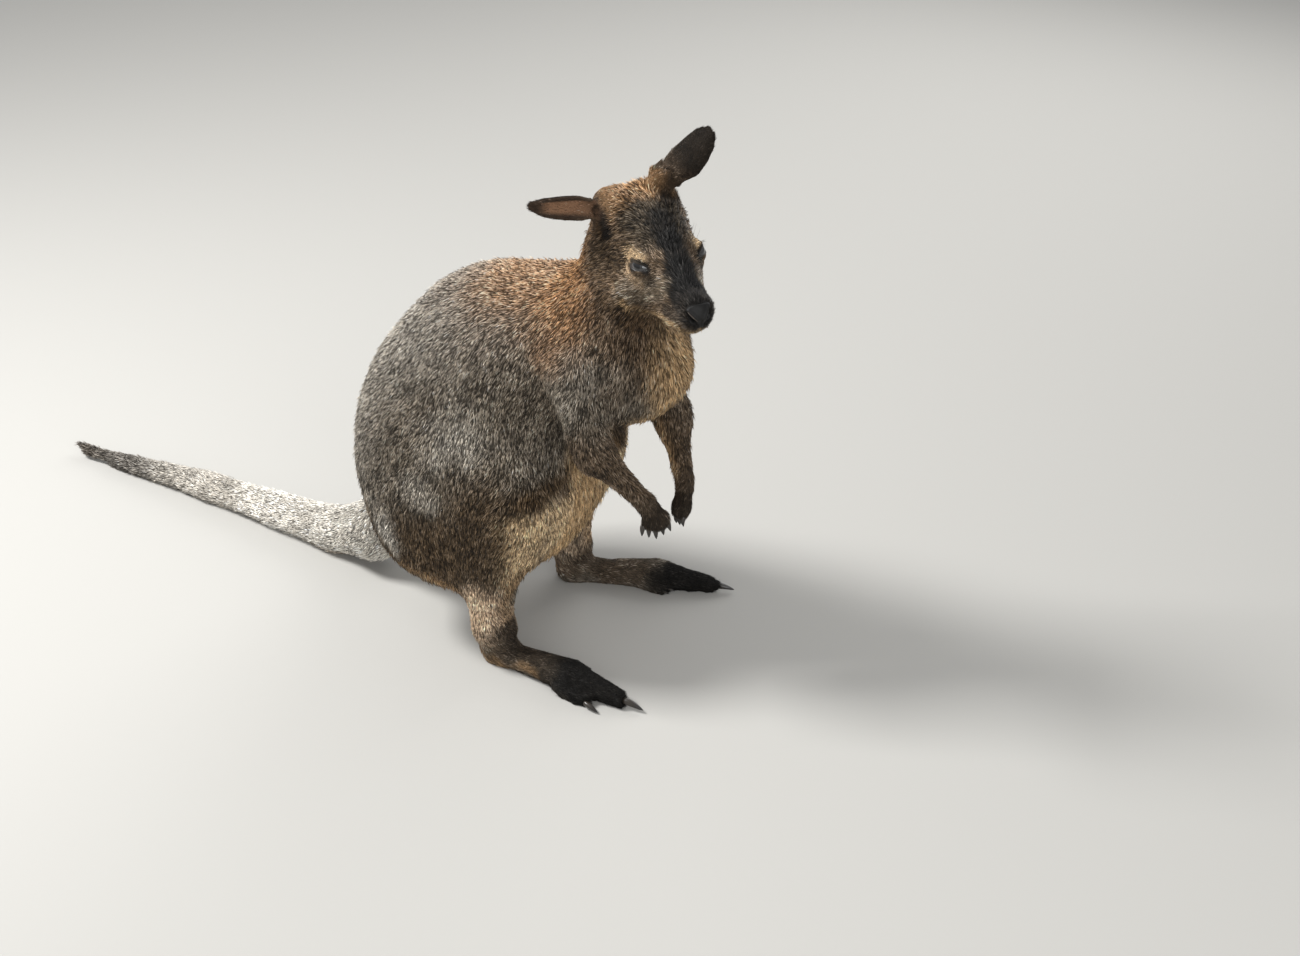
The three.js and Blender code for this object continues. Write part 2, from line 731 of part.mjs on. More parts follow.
for (const [name, side] of Object.entries(sides)) {
  const [low, high] = side < 0 ? [-150, -30] : [30, 200];
  const box = [[-40, low, -40], [230, high, 140]];
  const footBox = [[-40, low, -20], [230, high, 76]];
  const block = legBlock(side);
  const ankle = footPoint(name, ...leg.ankleCut.place);
  const lower = solid(wrap(flesh, box, cells.shank)).intersect(block);
  const shank = lower.subtract(beyond(ankle, leg.ankleCut.direction, gap));
  const foot = solid(wrap(flesh, footBox, cells.foot))
    .intersect(beyond(ankle, leg.ankleCut.direction)).intersect(block).subtract(floor);
  add(`shank_${name}`, shank, colours.back);
  let whole = foot;
  for (const { from, to, radii } of Object.values(smallToes)) {
    whole = whole.add(rod(footPoint(name, ...from), footPoint(name, ...to), ...radii));
  }
  const toes = { ...longToes, ...smallToes };
  for (const [toe, { from, to, claw: [length, radius] }] of Object.entries(toes)) {
    const end = vector(...footPoint(name, ...to));
    const way = end.clone().sub(vector(...footPoint(name, ...from))).setZ(0).normalize();
    const shape = [end.toArray(), way.toArray(), [0, 0, -1], length, radius, 0.18];
    whole = whole.subtract(claw(...shape, socketGap));
    add(`claw_foot_${name}_${toe}`, claw(...shape).subtract(floor), colours.claw, 0.45);
  }
  add(`foot_${name}`, whole.subtract(floor), colours.dark);
}

// ---------------------------------------------------------------- tail pieces

const tailBox = [[-700, -70, -30], [-140, 110, 150]];
const wholeTail = solid(wrap(flesh, tailBox, cells.tail)).intersect(tailBlock()).subtract(floor);
const [farTail, tailBase] = part(wholeTail, [tail.joints[0], 0, 0], [-1, 0, 0]);
const [tailTip, tailMiddle] = part(farTail, [tail.joints[1], 0, 0], [-1, 0, 0]);
add('tail_base', tailBase, colours.flank);
add('tail_middle', tailMiddle, colours.flank);
add('tail_tip', tailTip, colours.dark);

export default group;
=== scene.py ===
import json
import math

import bpy
import numpy as np
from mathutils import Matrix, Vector
from mathutils.kdtree import KDTree

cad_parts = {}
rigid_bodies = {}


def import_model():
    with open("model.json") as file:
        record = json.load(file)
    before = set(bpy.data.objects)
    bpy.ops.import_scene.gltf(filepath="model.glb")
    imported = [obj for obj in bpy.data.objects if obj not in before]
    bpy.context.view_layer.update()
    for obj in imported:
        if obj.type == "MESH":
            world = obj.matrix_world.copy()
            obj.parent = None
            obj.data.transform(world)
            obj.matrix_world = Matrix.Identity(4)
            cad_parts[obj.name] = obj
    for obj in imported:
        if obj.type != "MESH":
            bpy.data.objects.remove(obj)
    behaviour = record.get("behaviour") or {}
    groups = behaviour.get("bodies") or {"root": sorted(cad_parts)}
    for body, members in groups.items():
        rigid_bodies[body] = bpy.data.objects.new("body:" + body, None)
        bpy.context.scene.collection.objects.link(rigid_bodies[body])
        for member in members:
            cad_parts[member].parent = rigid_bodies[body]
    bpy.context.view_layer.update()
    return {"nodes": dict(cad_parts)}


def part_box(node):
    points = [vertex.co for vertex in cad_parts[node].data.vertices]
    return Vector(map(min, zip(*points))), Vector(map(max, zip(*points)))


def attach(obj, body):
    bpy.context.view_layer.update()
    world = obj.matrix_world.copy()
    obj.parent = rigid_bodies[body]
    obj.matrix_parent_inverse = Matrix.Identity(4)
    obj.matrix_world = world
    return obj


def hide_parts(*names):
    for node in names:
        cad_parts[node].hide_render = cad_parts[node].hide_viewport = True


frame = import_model()
chance = np.random.default_rng(7)
print("frame loaded")


# ---- small helpers

def choose(*pieces):
    bpy.ops.object.select_all(action="DESELECT")
    for piece in pieces:
        piece.select_set(True)
    bpy.context.view_layer.objects.active = pieces[0]


def joined(pieces):
    choose(*pieces)
    bpy.ops.object.join()
    return bpy.context.object


def editAll(piece, operator, **settings):
    # one edit mode operator on the whole of a piece
    choose(piece)
    bpy.ops.object.mode_set(mode="EDIT")
    bpy.ops.mesh.select_all(action="SELECT")
    operator(**settings)
    bpy.ops.object.mode_set(mode="OBJECT")


def applyModifier(piece, kind, **settings):
    modifier = piece.modifiers.new(kind.lower(), kind)
    for setting, value in settings.items():
        setattr(modifier, setting, value)
    choose(piece)
    bpy.ops.object.modifier_apply(modifier=modifier.name)


def copyOfNode(node):
    piece = bpy.data.objects.new(f"copy_{node}", frame["nodes"][node].data.copy())
    bpy.context.scene.collection.objects.link(piece)
    editAll(piece, bpy.ops.mesh.remove_doubles, threshold=0.00001)
    return piece


def readAll(items, name, width=1, kind=float):
    flat = np.empty(len(items) * width, kind)
    items.foreach_get(name, flat)
    return flat.reshape(-1, width) if width > 1 else flat


def pointsOf(mesh):
    return readAll(mesh.vertices, "co", 3)


def normalsOf(mesh):
    return readAll(mesh.vertex_normals, "vector", 3)


def movePoints(mesh, points):
    mesh.vertices.foreach_set("co", points.astype(np.float32).ravel())
    mesh.update()


def addColours(mesh, name, values):
    rgba = np.ones((len(values), 4), np.float32)
    rgba[:, :3] = np.clip(values, 0, 1)
    layer = mesh.color_attributes.new(name=name, type="FLOAT_COLOR", domain="POINT")
    layer.data.foreach_set("color", rgba.ravel())


def unit(vectors):
    return vectors / np.maximum(np.linalg.norm(vectors, axis=-1, keepdims=True), 1e-9)


def ramp(values, start, end):
    # soft step from 0 at start to 1 at end
    share = np.clip((values - start) / (end - start), 0, 1)
    return share * share * (3 - 2 * share)


def bell(gaps, width):
    return np.exp(-(gaps / width) ** 2)


def clouds(points, size, seed):
    # soft random patches about size metres across, mostly between -1 and 1
    dice = np.random.default_rng(seed)
    waves = dice.normal(size=(20, 3)) * 2.2 / size
    starts = dice.uniform(0, 2 * math.pi, 20)
    return np.cos(points @ waves.T + starts).sum(axis=1) / math.sqrt(10) * 0.7


def fromPath(points, path):
    # distance from a chain of places
    path = np.array(path, float)
    nearest = np.full(len(points), 1e9)
    for start, end in zip(path[:-1], path[1:]):
        line = end - start
        share = np.clip((points - start) @ line / max(line @ line, 1e-12), 0, 1)
        gap = np.linalg.norm(points - start - share[:, None] * line, axis=1)
        nearest = np.minimum(nearest, gap)
    return nearest


def fromPlace(points, place):
    return np.linalg.norm(points - place, axis=1)


# ---- places on the body

midPlane = -0.015
sides = {"right": -1, "left": 1}
headPlace = np.array([0.3948, -0.0345, 0.4822])      # between the eyes
headAxes = np.array([(0.782, -0.618, -0.08), (0.623, 0.778, 0.078), (0.014, -0.111, 0.994)])


def onHead(forward, left, up, side=1):
    # a point on the head, in millimetres from between the eyes
    return headPlace + np.array([forward, side * left, up]) @ headAxes / 1000


def inHead(points):
    return (points - headPlace) @ headAxes.T * 1000


def onBody(x, away, z, side=1):
    # a point on the trunk, in millimetres, some way from its middle plane
    return np.array([x / 1000, midPlane + side * away / 1000, z / 1000])


def placed(rows, place, *side):
    # the same rows with their places, which come second, in metres
    return [(name, [place(*spot, *side) for spot in path], *rest) for name, path, *rest in rows]


ears = {
    "right": dict(root=(-53, -9, 33), towards=(-0.27, -0.96, 0.09), open=(0.85, 0, -0.2),
                  narrow=0.14, outward=0),
    "left": dict(root=(-55, 10, 29), towards=(0.34, 0.52, 0.78), open=(-0.35, 0.9, -0.25),
                 narrow=0, outward=0.62),
}
leaf = dict(length=0.096, mouth=0.03, halfWidth=0.0138, widest=0.36, tapered=0.66)
for ear in ears.values():
    ear["root"] = onHead(*ear["root"])
    ear["towards"] = unit(np.array(ear["towards"]) @ headAxes)
    ear["open"] = unit(np.array(ear["open"]) @ headAxes)
    ear["across"] = unit(np.cross(ear["towards"], ear["open"]))
    ear["tip"] = ear["root"] + leaf["length"] * ear["towards"]
    ear["mouth"] = ear["root"] + leaf["mouth"] * ear["towards"]
    ear["leaf"] = [ear["mouth"], ear["tip"]]


def alongEar(points, ear):
    # how far beyond the ear's mouth, and how far across it
    return (points - ear["mouth"]) @ ear["towards"], (points - ear["mouth"]) @ ear["across"]


def halfWidthOfEar(beyond):
    share = (beyond + leaf["mouth"]) / leaf["length"]
    fromWidest = (share - leaf["widest"]) / leaf["tapered"]
    return leaf["halfWidth"] * np.sqrt(np.clip(1 - fromWidest ** 2, 0.05, 1))


# in millimetres
paws = {
    "right": dict(shoulder=(319, -73, 360), elbow=(343, -86, 287), wrist=(385, -53, 220),
                  knuckles=(392, -47, 201), fingers=(392, -45, 181)),
    "left": dict(shoulder=(319, 43, 352), elbow=(357, 56, 261), wrist=(390, 23, 200),
                 knuckles=(388, 18, 179), fingers=(382, 15, 160)),
}
legs = {
    "right": dict(hock=(205, -125, 110), ankle=(227, -98, 50), heel=(212, -98, 20),
                  midfoot=(300, -101, 20), toes=(400, -104, 10)),
    "left": dict(hock=(205, 95, 110), ankle=(220, 75, 50), heel=(206, 72, 20),
                 midfoot=(292, 98, 20), toes=(385, 127, 10)),
}
for limb in [*paws.values(), *legs.values()]:
    for place in limb:
        limb[place] = np.array(limb[place]) / 1000
tailWay = np.array([(75, -9, 95), (9, -6, 46), (-49, -1, 26), (-129, 5, 21), (-259, 13, 16),
                    (-379, 15, 12), (-463, 15, 8)]) / 1000

eyeRadius = 0.012
eyes = {}
for side, sign in sides.items():
    look = unit(np.array([0.45, sign * 0.8, 0.36]) @ headAxes)
    along = np.array([0.933, -0.359 * sign, 0.036]) @ headAxes
    along = unit(along - look * (along @ look))
    eyes[side] = dict(middle=np.mean(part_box(f"eye_{side}"), axis=0), look=look, along=along,
                      up=np.cross(look, along) * -sign)

# the bare nose: the ends of each stretch and half its height, in millimetres on the head
nosePad = [([(77, -7, -15), (77, 7, -15)], 6.2), ([(79, -6, -22), (79, 6, -22)], 5.2),
           ([(81, 0, -22), (80, 0, -33)], 3.0)]


def noseGap(local):
    # distance outside the edge of the bare nose, for places in millimetres on the head
    return np.minimum.reduce([fromPath(local, path) - reach for path, reach in nosePad])


# ---- shader trees

class Tone:
    # an output of a node, so that sums can be written as sums
    def __init__(self, socket):
        self.socket = socket

    def sum(self, operation, other, swapped=False):
        tree = self.socket.id_data
        wide = self.socket.type in ("VECTOR", "RGBA")
        node = tree.nodes.new("ShaderNodeVectorMath" if wide else "ShaderNodeMath")
        node.operation = operation
        for slot, value in zip((1, 0) if swapped else (0, 1), (self, other)):
            if isinstance(value, Tone):
                tree.links.new(value.socket, node.inputs[slot])
            else:
                node.inputs[slot].default_value = (value,) * 3 if wide else value
        return Tone(node.outputs[0])

    def __add__(self, other):
        return self.sum("ADD", other)

    def __radd__(self, other):
        return self.sum("ADD", other, True)

    def __rsub__(self, other):
        return self.sum("SUBTRACT", other, True)

    def __mul__(self, other):
        return self.sum("MULTIPLY", other)

    def __rmul__(self, other):
        return self.sum("MULTIPLY", other, True)


class Finish:
    def __init__(self, name, **sockets):
        self.material = bpy.data.materials.new(name)
        self.material.use_nodes = True
        self.tree = self.material.node_tree
        self.shader = self.tree.nodes["Principled BSDF"]
        for socket, value in sockets.items():
            self.shader.inputs[socket.replace("_", " ")].default_value = value

    def node(self, kind, settings=None, output=0, **inputs):
        # a socket goes by its name, or by n and its number
        made = self.tree.nodes.new(kind)
        for setting, value in (settings or {}).items():
            setattr(made, setting, value)
        for name, value in inputs.items():
            socket = made.inputs[int(name[1:]) if name[1:].isdigit() else name]
            if isinstance(value, Tone):
                self.tree.links.new(value.socket, socket)
            else:
                socket.default_value = value
        return Tone(made.outputs[output])

    def attribute(self, name, output=0):
        return self.node("ShaderNodeAttribute", {"attribute_name": name}, output)

    def place(self):
        return self.node("ShaderNodeTexCoord", output=3)

    def mix(self, share, first, second):
        return self.node("ShaderNodeMix", {"data_type": "RGBA"}, 2, n0=share, n6=first, n7=second)

    def feed(self, name, tone):
        self.tree.links.new(tone.socket, self.shader.inputs[name])


# ---- colours of the coat

colours = {
    "greyBrown": (0.19, 0.158, 0.12),
    "silver": (0.47, 0.42, 0.35),
    # pale frosted fur, lighter than the silver as a painted highlight
    "frosted": (0.6, 0.545, 0.46),
    "flankGrey": (0.235, 0.19, 0.138),
    # pale patches of the flank and shoulder, brightened as a painted highlight
    "flankPale": (0.42, 0.37, 0.3),
    "orange": (0.54, 0.27, 0.105),
    "rufous": (0.415, 0.24, 0.125),
    "rustyGrey": (0.26, 0.175, 0.11),
    "neckBrown": (0.12, 0.078, 0.045),
    "thighBrown": (0.1, 0.06, 0.027),
    "buff": (0.6, 0.4, 0.21),
    # the groin's pale buff, brightened far past the fur's own colour as painted light
    "groin": (0.82, 0.6, 0.36),
    "thighFront": (0.4, 0.275, 0.15),
    "tan": (0.44, 0.28, 0.145),
    "armBrown": (0.135, 0.09, 0.054),
    "darkBrown": (0.03, 0.022, 0.015),
    "black": (0.0085, 0.0078, 0.007),
    "faceBrown": (0.13, 0.085, 0.048),
    "faceDark": (0.085, 0.056, 0.031),
    "foreheadGrey": (0.044, 0.034, 0.022),
    "cheekGrey": (0.24, 0.185, 0.125),
    "crown": (0.365, 0.208, 0.098),
    "pouch": (0.56, 0.4, 0.25),
    "paleBrow": (0.78, 0.56, 0.33),
    "lip": (0.6, 0.4, 0.21),
    # the fur under the jaw, darkened as painted shade
    "throat": (0.09, 0.055, 0.028),
    "earInside": (0.4, 0.22, 0.125),
    # the ear's own inside colour darkened, as painted shade deep in the hollow
    "earHollowShade": (0.1, 0.058, 0.035),
    # the tail's silver grey, brightened almost to white as painted light
    "tailGrey": (0.93, 0.87, 0.77),
    "tailDark": (0.06, 0.05, 0.04),
    # the shank's tan, brightened past its own colour as painted light
    "shankTanAndLight": (0.88, 0.65, 0.45),
    "instep": (0.165, 0.12, 0.08),
    "nose": (0.0065, 0.006, 0.0055),
    # a painted highlight on the nostril rims and down the nose's cleft
    "nostrilHighlight": (0.15, 0.125, 0.105),
}
colours = {name: np.array(tone) for name, tone in colours.items()}

# each mark: colour, the places it runs along, its reach and soft border, how strong it is; in millimetres
trunkMarks = [
    ("silver", [(220, 0, 440), (90, 0, 370), (30, 0, 220)], 135, 80, 0.92),
    ("rustyGrey", [(240, 0, 420), (290, 0, 410)], 115, 80, 0.75),
    ("rufous", [(335, 2, 490), (300, 0, 430), (250, 0, 425)], 72, 50, 0.85),
    ("neckBrown", [(345, 0, 435), (375, 0, 395)], 70, 30, 0.92),
    ("buff", [(425, -33, 432), (415, -10, 370), (372, 0, 280)], 42, 28, 0.9),
    ("buff", [(340, 0, 240), (280, 0, 150), (200, 0, 60)], 64, 28, 0.9),
    ("tan", [(30, 0, 100), (100, 0, 45)], 50, 30, 0.6),
]
besideMarks = [
    ("orange", [(300, 20, 450), (300, 45, 430)], 34, 30, 0.7),
    ("flankGrey", [(260, 100, 320), (160, 110, 270)], 75, 55, 0.7),
    # pale flank and shoulder patches: painted highlights
    ("flankPale", [(205, 105, 310), (235, 110, 290)], 34, 30, 0.65),
    ("flankPale", [(330, 75, 375), (318, 90, 340)], 26, 24, 0.55),
    ("rufous", [(310, 55, 430), (295, 75, 395)], 36, 32, 0.7),
    ("thighBrown", [(250, 125, 200), (220, 125, 150), (120, 100, 130)], 64, 44, 0.8),
    # frosted patches on the flank: painted highlights
    ("frosted", [(170, 118, 270), (215, 112, 282)], 30, 28, 0.8),
    ("frosted", [(175, 120, 205), (160, 120, 225)], 22, 20, 0.6),
    ("thighFront", [(290, 106, 196), (284, 104, 160), (270, 90, 125)], 32, 24, 0.9),
    # the groin and the belly between the legs: pale buff with painted light
    ("groin", [(300, 70, 192), (289, 101, 203), (281, 100, 160), (270, 86, 125)], 21, 13, 0.9),
    ("groin", [(292, 68, 150), (302, 56, 180), (306, 36, 198), (335, 30, 220)], 19, 9, 0.95),
    # a dark line along the groin fold: painted shade in the crease
    ("thighBrown", [(284, 108, 238), (297, 80, 230), (302, 52, 228)], 21, 11, 0.9),
    # dark brown under the elbow, against the belly: painted shadow
    ("darkBrown", [(298, 76, 236), (303, 52, 238), (330, 80, 268)], 16, 12, 0.8),
    ("tan", [(130, 112, 112), (170, 111, 104), (200, 108, 100)], 14, 10, 0.75),
    ("silver", [(100, 112, 170), (120, 113, 140)], 24, 20, 0.8),
    # the tail's base low on the rump: silver grey with painted light
    ("tailGrey", [(108, 110, 158), (130, 113, 130)], 12, 11, 0.5),
]
tailMarks = [
    # the tail's silver grey, brightened as painted light
    ("tailGrey", tailWay[:4], 75, 30, 0.85),
    ("tailGrey", tailWay[3:6], 60, 50, 0.55),
    ("tailDark", tailWay[5:], 85, 80, 0.85),
    ("tan", [onBody(20, 8, 12), onBody(-80, 17, 0)], 22, 14, 0.4),
]
middleFaceMarks = [
    ("faceBrown", [(20, 0, 0), (-25, 0, 0)], 75, 30, 0.95),
    ("rufous", [(-62, 0, 20), (-60, 0, -10)], 34, 20, 0.8),
    ("foreheadGrey", [(-36, 0, 40), (-4, 0, 34)], 36, 16, 0.9),
    ("crown", [(-60, -28, 34), (-60, 4, 40), (-50, 16, 50), (-46, 22, 66)], 27, 16, 0.9),
    ("black", [(-8, 2, 33), (16, 1, 22)], 15, 9, 0.85),
    ("black", [(14, 1, 23), (38, 0, 9)], 11.8, 5, 0.94),
    ("black", [(41, 0, 7), (48, 0, 2)], 16, 5, 0.95),
    ("black", [(56, 0, -2), (76, 0, -13)], 20.8, 5, 0.96),
    ("buff", [(64, 0, -48), (20, 0, -60)], 17, 8, 0.8),
    ("darkBrown", [(-30, 20, 40), (-38, 30, 50)], 13, 7, 0.85),
]
besideFaceMarks = [
    ("faceDark", [(-20, 42, -2), (-38, 42, -8)], 20, 13, 0.85),
    # under the jaw: painted shade
    ("throat", [(4, 36, -62), (-24, 48, -50)], 22, 12, 0.85),
    ("cheekGrey", [(38, 21, -8), (16, 33, -22), (0, 40, -28)], 14, 8, 0.85),
    ("darkBrown", [(68, 14, -20), (54, 19, -26)], 11, 6, 0.8),
    ("lip", [(-2, 43, -36), (5, 39, -40), (11, 32, -43), (22, 26, -42), (39, 23, -38), (56, 20, -35),
             (68, 14, -37), (76, 5, -40)], 5.8, 3.6, 0.9),
    ("paleBrow", [(-4, 32, 10), (9, 28, 10)], 9.2, 6.6, 0.95),
    ("pouch", [(-3, 38, -5), (7, 35, -9), (14, 31, -12)], 8.5, 4.5, 0.88),
    ("darkBrown", [(20, 26, 2), (28, 22, -3)], 6, 5, 0.7),
    ("black", [(-54, 54, 46), (-57, 48, 41), (-50, 45, 34), (-43, 42, 26), (-37, 39, 18)], 9.5, 6, 0.93),
]
# the right instep is darker than the left as painted shade; and where black begins on each foot
instep = {"right": dict(dark=0.65, blackFrom=40), "left": dict(dark=0.1, blackFrom=56)}


def limbMarks(side):
    leg, paw, inward = legs[side], paws[side], -sides[side]

    def by(place, x, y, z):
        return place + np.array([x, y, z]) / 1000

    return [
        ("armBrown", [paw["elbow"], paw["wrist"]], 40, 20, 0.85),
        ("tan", [by(paw["elbow"], 0, inward * 22, -10), by(paw["wrist"], -4, inward * 10, 0)], 13, 9, 0.7),
        ("darkBrown", [paw["knuckles"], paw["fingers"]], 36, 22, 0.8),
        # the shank's tan, brightened as painted light
        ("shankTanAndLight", [by(leg["hock"], 26, 0, -22), leg["ankle"]], 34, 18, 0.95),
        ("tan", [by(leg["hock"], -30, inward * 10, -10), by(leg["heel"], -12, 0, 20)], 20, 14, 0.8),
        ("tan", [by(leg["ankle"], 30, 0, 60), by(leg["ankle"], 24, 0, 12)], 14, 10, 0.6),
        ("darkBrown", [by(leg["ankle"], 20, 0, -8), by(leg["ankle"], 55, 0, -20)], 21, 12, 0.8),
        ("instep", [by(leg["heel"], 20, 0, 12), leg["midfoot"]], 26, 10, 0.75),
        # darker on the right foot: painted shade
        ("darkBrown", [by(leg["ankle"], 12, 0, -4), leg["midfoot"]], 25, 12, instep[side]["dark"]),
        ("tan", [by(leg["heel"], -12, 0, 8), by(leg["heel"], 10, -inward * 12, -14),
                 by(leg["midfoot"], -12, -inward * 18, -12)], 12.5, 8, 0.75),
        ("black", [by(leg["midfoot"], instep[side]["blackFrom"], 0, 0), leg["toes"]], 42, 16, 0.97),
    ]


bodyMarks = placed(trunkMarks, onBody) + placed(besideMarks, onBody, -1) + placed(besideMarks, onBody, 1)
bodyMarks += limbMarks("right") + limbMarks("left") + tailMarks
headMarks = (placed(middleFaceMarks, onHead) + placed(besideFaceMarks, onHead, 1)
             + placed(besideFaceMarks, onHead, -1))
for eye in eyes.values():
    front = eye["middle"] + 0.0125 * eye["look"]
    headMarks.append(("black", [front - 0.0085 * eye["along"], front + 0.014 * eye["along"]], 6.8, 2.4, 0.95))

# how far the borders of the marks wander, how wide the head's marks reach, and the parts of an ear, in metres
border = dict(body=0.006, bodyPatch=0.03, head=0.0012, headPatch=0.008, headReach=0.066)
earPaint = dict(mouth=(-0.004, 0.008), around=(0.017, 0.022), deep=0.03, rim=(0.45, 0.8),
                tip=(0.044, 0.058), deepShare=0.6, backTone=0.6)


def shaded(first, second, share):
    return first + (second - first) * share


def addMarks(tones, points, marks, where, wander, size, seeds):
    blurred = points + wander * np.stack([clouds(points, size, seed) for seed in seeds], axis=1)
    for name, path, reach, soft, strength in marks:
        inside = 1 - ramp(fromPath(blurred, path), (reach - soft) / 1000, (reach + soft * 0.3) / 1000)
        tones += (colours[name] - tones) * (strength * inside * where)[:, None]


def paint(points, normals):
    # the coat's colour at these places
    tones = np.tile(colours["greyBrown"], (len(points), 1))
    addMarks(tones, points, bodyMarks, 1, border["body"], border["bodyPatch"], (1, 2, 3))
    nearHead = fromPath(points, [onHead(-40, 0, 0), onHead(60, 0, -20)]) < border["headReach"]
    addMarks(tones, points, headMarks, nearHead, border["head"], border["headPatch"], (4, 5, 6))
    onNose = 1 - ramp(noseGap(inHead(points)), -0.5, 1.5)
    tones += (colours["nose"] - tones) * onNose[:, None]
    for ear in ears.values():
        beyond, aside = alongEar(points, ear)
        onEar = ramp(beyond, *earPaint["mouth"])
        onEar *= 1 - ramp(fromPath(points, ear["leaf"]), *earPaint["around"])
        rim = ramp(np.abs(aside) / halfWidthOfEar(beyond), *earPaint["rim"])
        inner = ramp(normals @ ear["open"], -0.05, 0.35)
        inner = inner * (1 - 0.9 * np.maximum(rim, ramp(beyond, *earPaint["tip"])))
        deep = (1 - ramp(beyond, 0.0, earPaint["deep"]))[:, None] * earPaint["deepShare"]
        back = shaded(colours["darkBrown"], colours["rustyGrey"] * earPaint["backTone"], deep)
        # the hollow darkens towards the ear's mouth: painted shade
        hollow = shaded(colours["earInside"], colours["earHollowShade"], deep)
        tones = shaded(tones, shaded(back, hollow, inner[:, None]), onEar[:, None])
    return tones


# ---- the lie of the hair: kind, from where to where, reach in millimetres, and weight where it isn't 1

lies = placed([
    ("face", [(80, 0, -20), (0, 0, 0)], 30),
    ("face", [(45, 20, -30), (-10, 34, -22)], 22),
    ("face", [(45, -20, -30), (-10, -34, -22)], 22),
    ("face", [(60, 0, -44), (-10, 0, -52)], 22),
    ("crown", [(0, 0, 30), (-60, 0, 42)], 26),
    ("cheek", [(0, 36, -10), (-45, 34, -25)], 24),
    ("cheek", [(0, -36, -10), (-45, -34, -25)], 24),
], onHead)
lies.append(("neck", [onHead(-62, 0, 20), onBody(325, 2, 455)], 36))
lies += placed([
    ("neck", [(325, 2, 480), (250, 0, 415)], 50),
    ("chest", [(410, -30, 455), (405, -5, 350)], 50),
    ("chest", [(405, -5, 350), (360, 0, 250)], 50),
    ("back", [(260, 0, 430), (110, 0, 385)], 55),
    ("back", [(110, 0, 385), (30, 0, 220)], 70),
    ("back", [(30, 0, 220), (35, 0, 110)], 50),
    ("belly", [(330, 0, 250), (270, 0, 120)], 55),
    ("belly", [(270, 0, 120), (120, 0, 40)], 55),
], onBody)
for sign in (-1, 1):
    lies += placed([
        ("neck", [(340, 50, 430), (300, 80, 330)], 40),
        ("flank", [(262, 90, 370), (232, 100, 250)], 60),
        ("flank", [(170, 90, 360), (130, 110, 250)], 55),
        ("back", [(170, 60, 410), (130, 90, 345)], 45),
        ("back", [(90, 70, 340), (55, 80, 240)], 45),
        ("thigh", [(110, 110, 250), (110, 110, 120)], 50),
        ("thigh", [(190, 120, 240), (200, 120, 130)], 50),
        ("thigh", [(270, 110, 230), (245, 110, 150)], 40),
    ], onBody, sign)
for side in sides:
    paw, leg, ear = paws[side], legs[side], ears[side]
    lies += [
        ("arm", [paw["shoulder"], paw["elbow"]], 34),
        ("arm", [paw["elbow"], paw["wrist"]], 24),
        ("hand", [paw["wrist"], paw["fingers"]], 18, 4),
        ("shank", [leg["hock"], leg["ankle"]], 30),
        ("foot", [leg["heel"], leg["midfoot"]], 20, 2),
        ("foot", [leg["midfoot"], leg["toes"]], 22, 4),
        ("ear", [ear["root"] + 0.036 * ear["towards"], ear["tip"]], 13, 60),
    ]
lies += [("tail", ends, 30) for ends in zip(tailWay[:-1], tailWay[1:])]

# in metres: length and width of a tuft, depth of the coat, distance between roots; then the share of pale
# tufts and of dark ones, and how far neighbours lean together
hairSizes = ("length", "width", "depth", "apart", "frost", "ticks", "pull")
hair = {
    "face": (0.0046, 0.00062, 0.001, 0.00066, 0.24, 0.3, 0.2),
    "crown": (0.0098, 0.0008, 0.004, 0.00088, 0.26, 0.34, 0.35),
    "cheek": (0.0065, 0.0007, 0.0019, 0.00084, 0.3, 0.32, 0.35),
    "neck": (0.0086, 0.001, 0.0042, 0.00138, 0.28, 0.28, 0.42),
    "chest": (0.012, 0.0011, 0.0044, 0.00145, 0.18, 0.2, 0.45),
    "back": (0.0076, 0.001, 0.0036, 0.00142, 0.46, 0.3, 0.38),
    "flank": (0.0082, 0.001, 0.004, 0.00136, 0.38, 0.38, 0.42),
    "belly": (0.0135, 0.0012, 0.0045, 0.00178, 0.18, 0.1, 0.5),
    "thigh": (0.0084, 0.0011, 0.004, 0.00145, 0.14, 0.36, 0.45),
    "arm": (0.008, 0.0009, 0.0028, 0.0013, 0.18, 0.32, 0.35),
    "hand": (0.004, 0.0007, 0.0008, 0.00122, 0.04, 0.2, 0.1),
    "shank": (0.007, 0.0009, 0.002, 0.00128, 0.16, 0.28, 0.3),
    "foot": (0.0052, 0.0009, 0.0014, 0.00138, 0.08, 0.2, 0.1),
    "ear": (0.0032, 0.0006, 0.0003, 0.00095, 0.08, 0.2, 0.0),
    "tail": (0.009, 0.0011, 0.0025, 0.00172, 0.44, 0.05, 0.35),
}
kinds = list(hair)


def layOfHair(points, normals):
    # blends the hair's direction and the share of each kind from the lies near each point
    flow = np.zeros((len(points), 3))
    shares = np.full((len(points), len(kinds)), 1e-12)
    for kind, (start, end), reach, *weight in lies:
        near = (weight or [1])[0] * (bell(fromPath(points, [start, end]), reach / 1000) + 1e-9)
        flow += near[:, None] * (end - start) / np.linalg.norm(end - start)
        shares[:, kinds.index(kind)] += near
    shares /= shares.sum(axis=1, keepdims=True)
    flow = unit(flow - normals * (flow * normals).sum(axis=1, keepdims=True))
    return flow, shares


def sizeOf(shares, name):
    return shares @ np.array([hair[kind][hairSizes.index(name)] for kind in kinds])


# ---- the skin

flesh = ["neck", "chest", "belly", "rump", "head", "tail_base", "tail_middle", "tail_tip"]
for side in sides:
    flesh += [f"{part}_{side}" for part in
              ("thigh", "upper_arm", "forearm", "hand", "ear", "shank", "foot")]

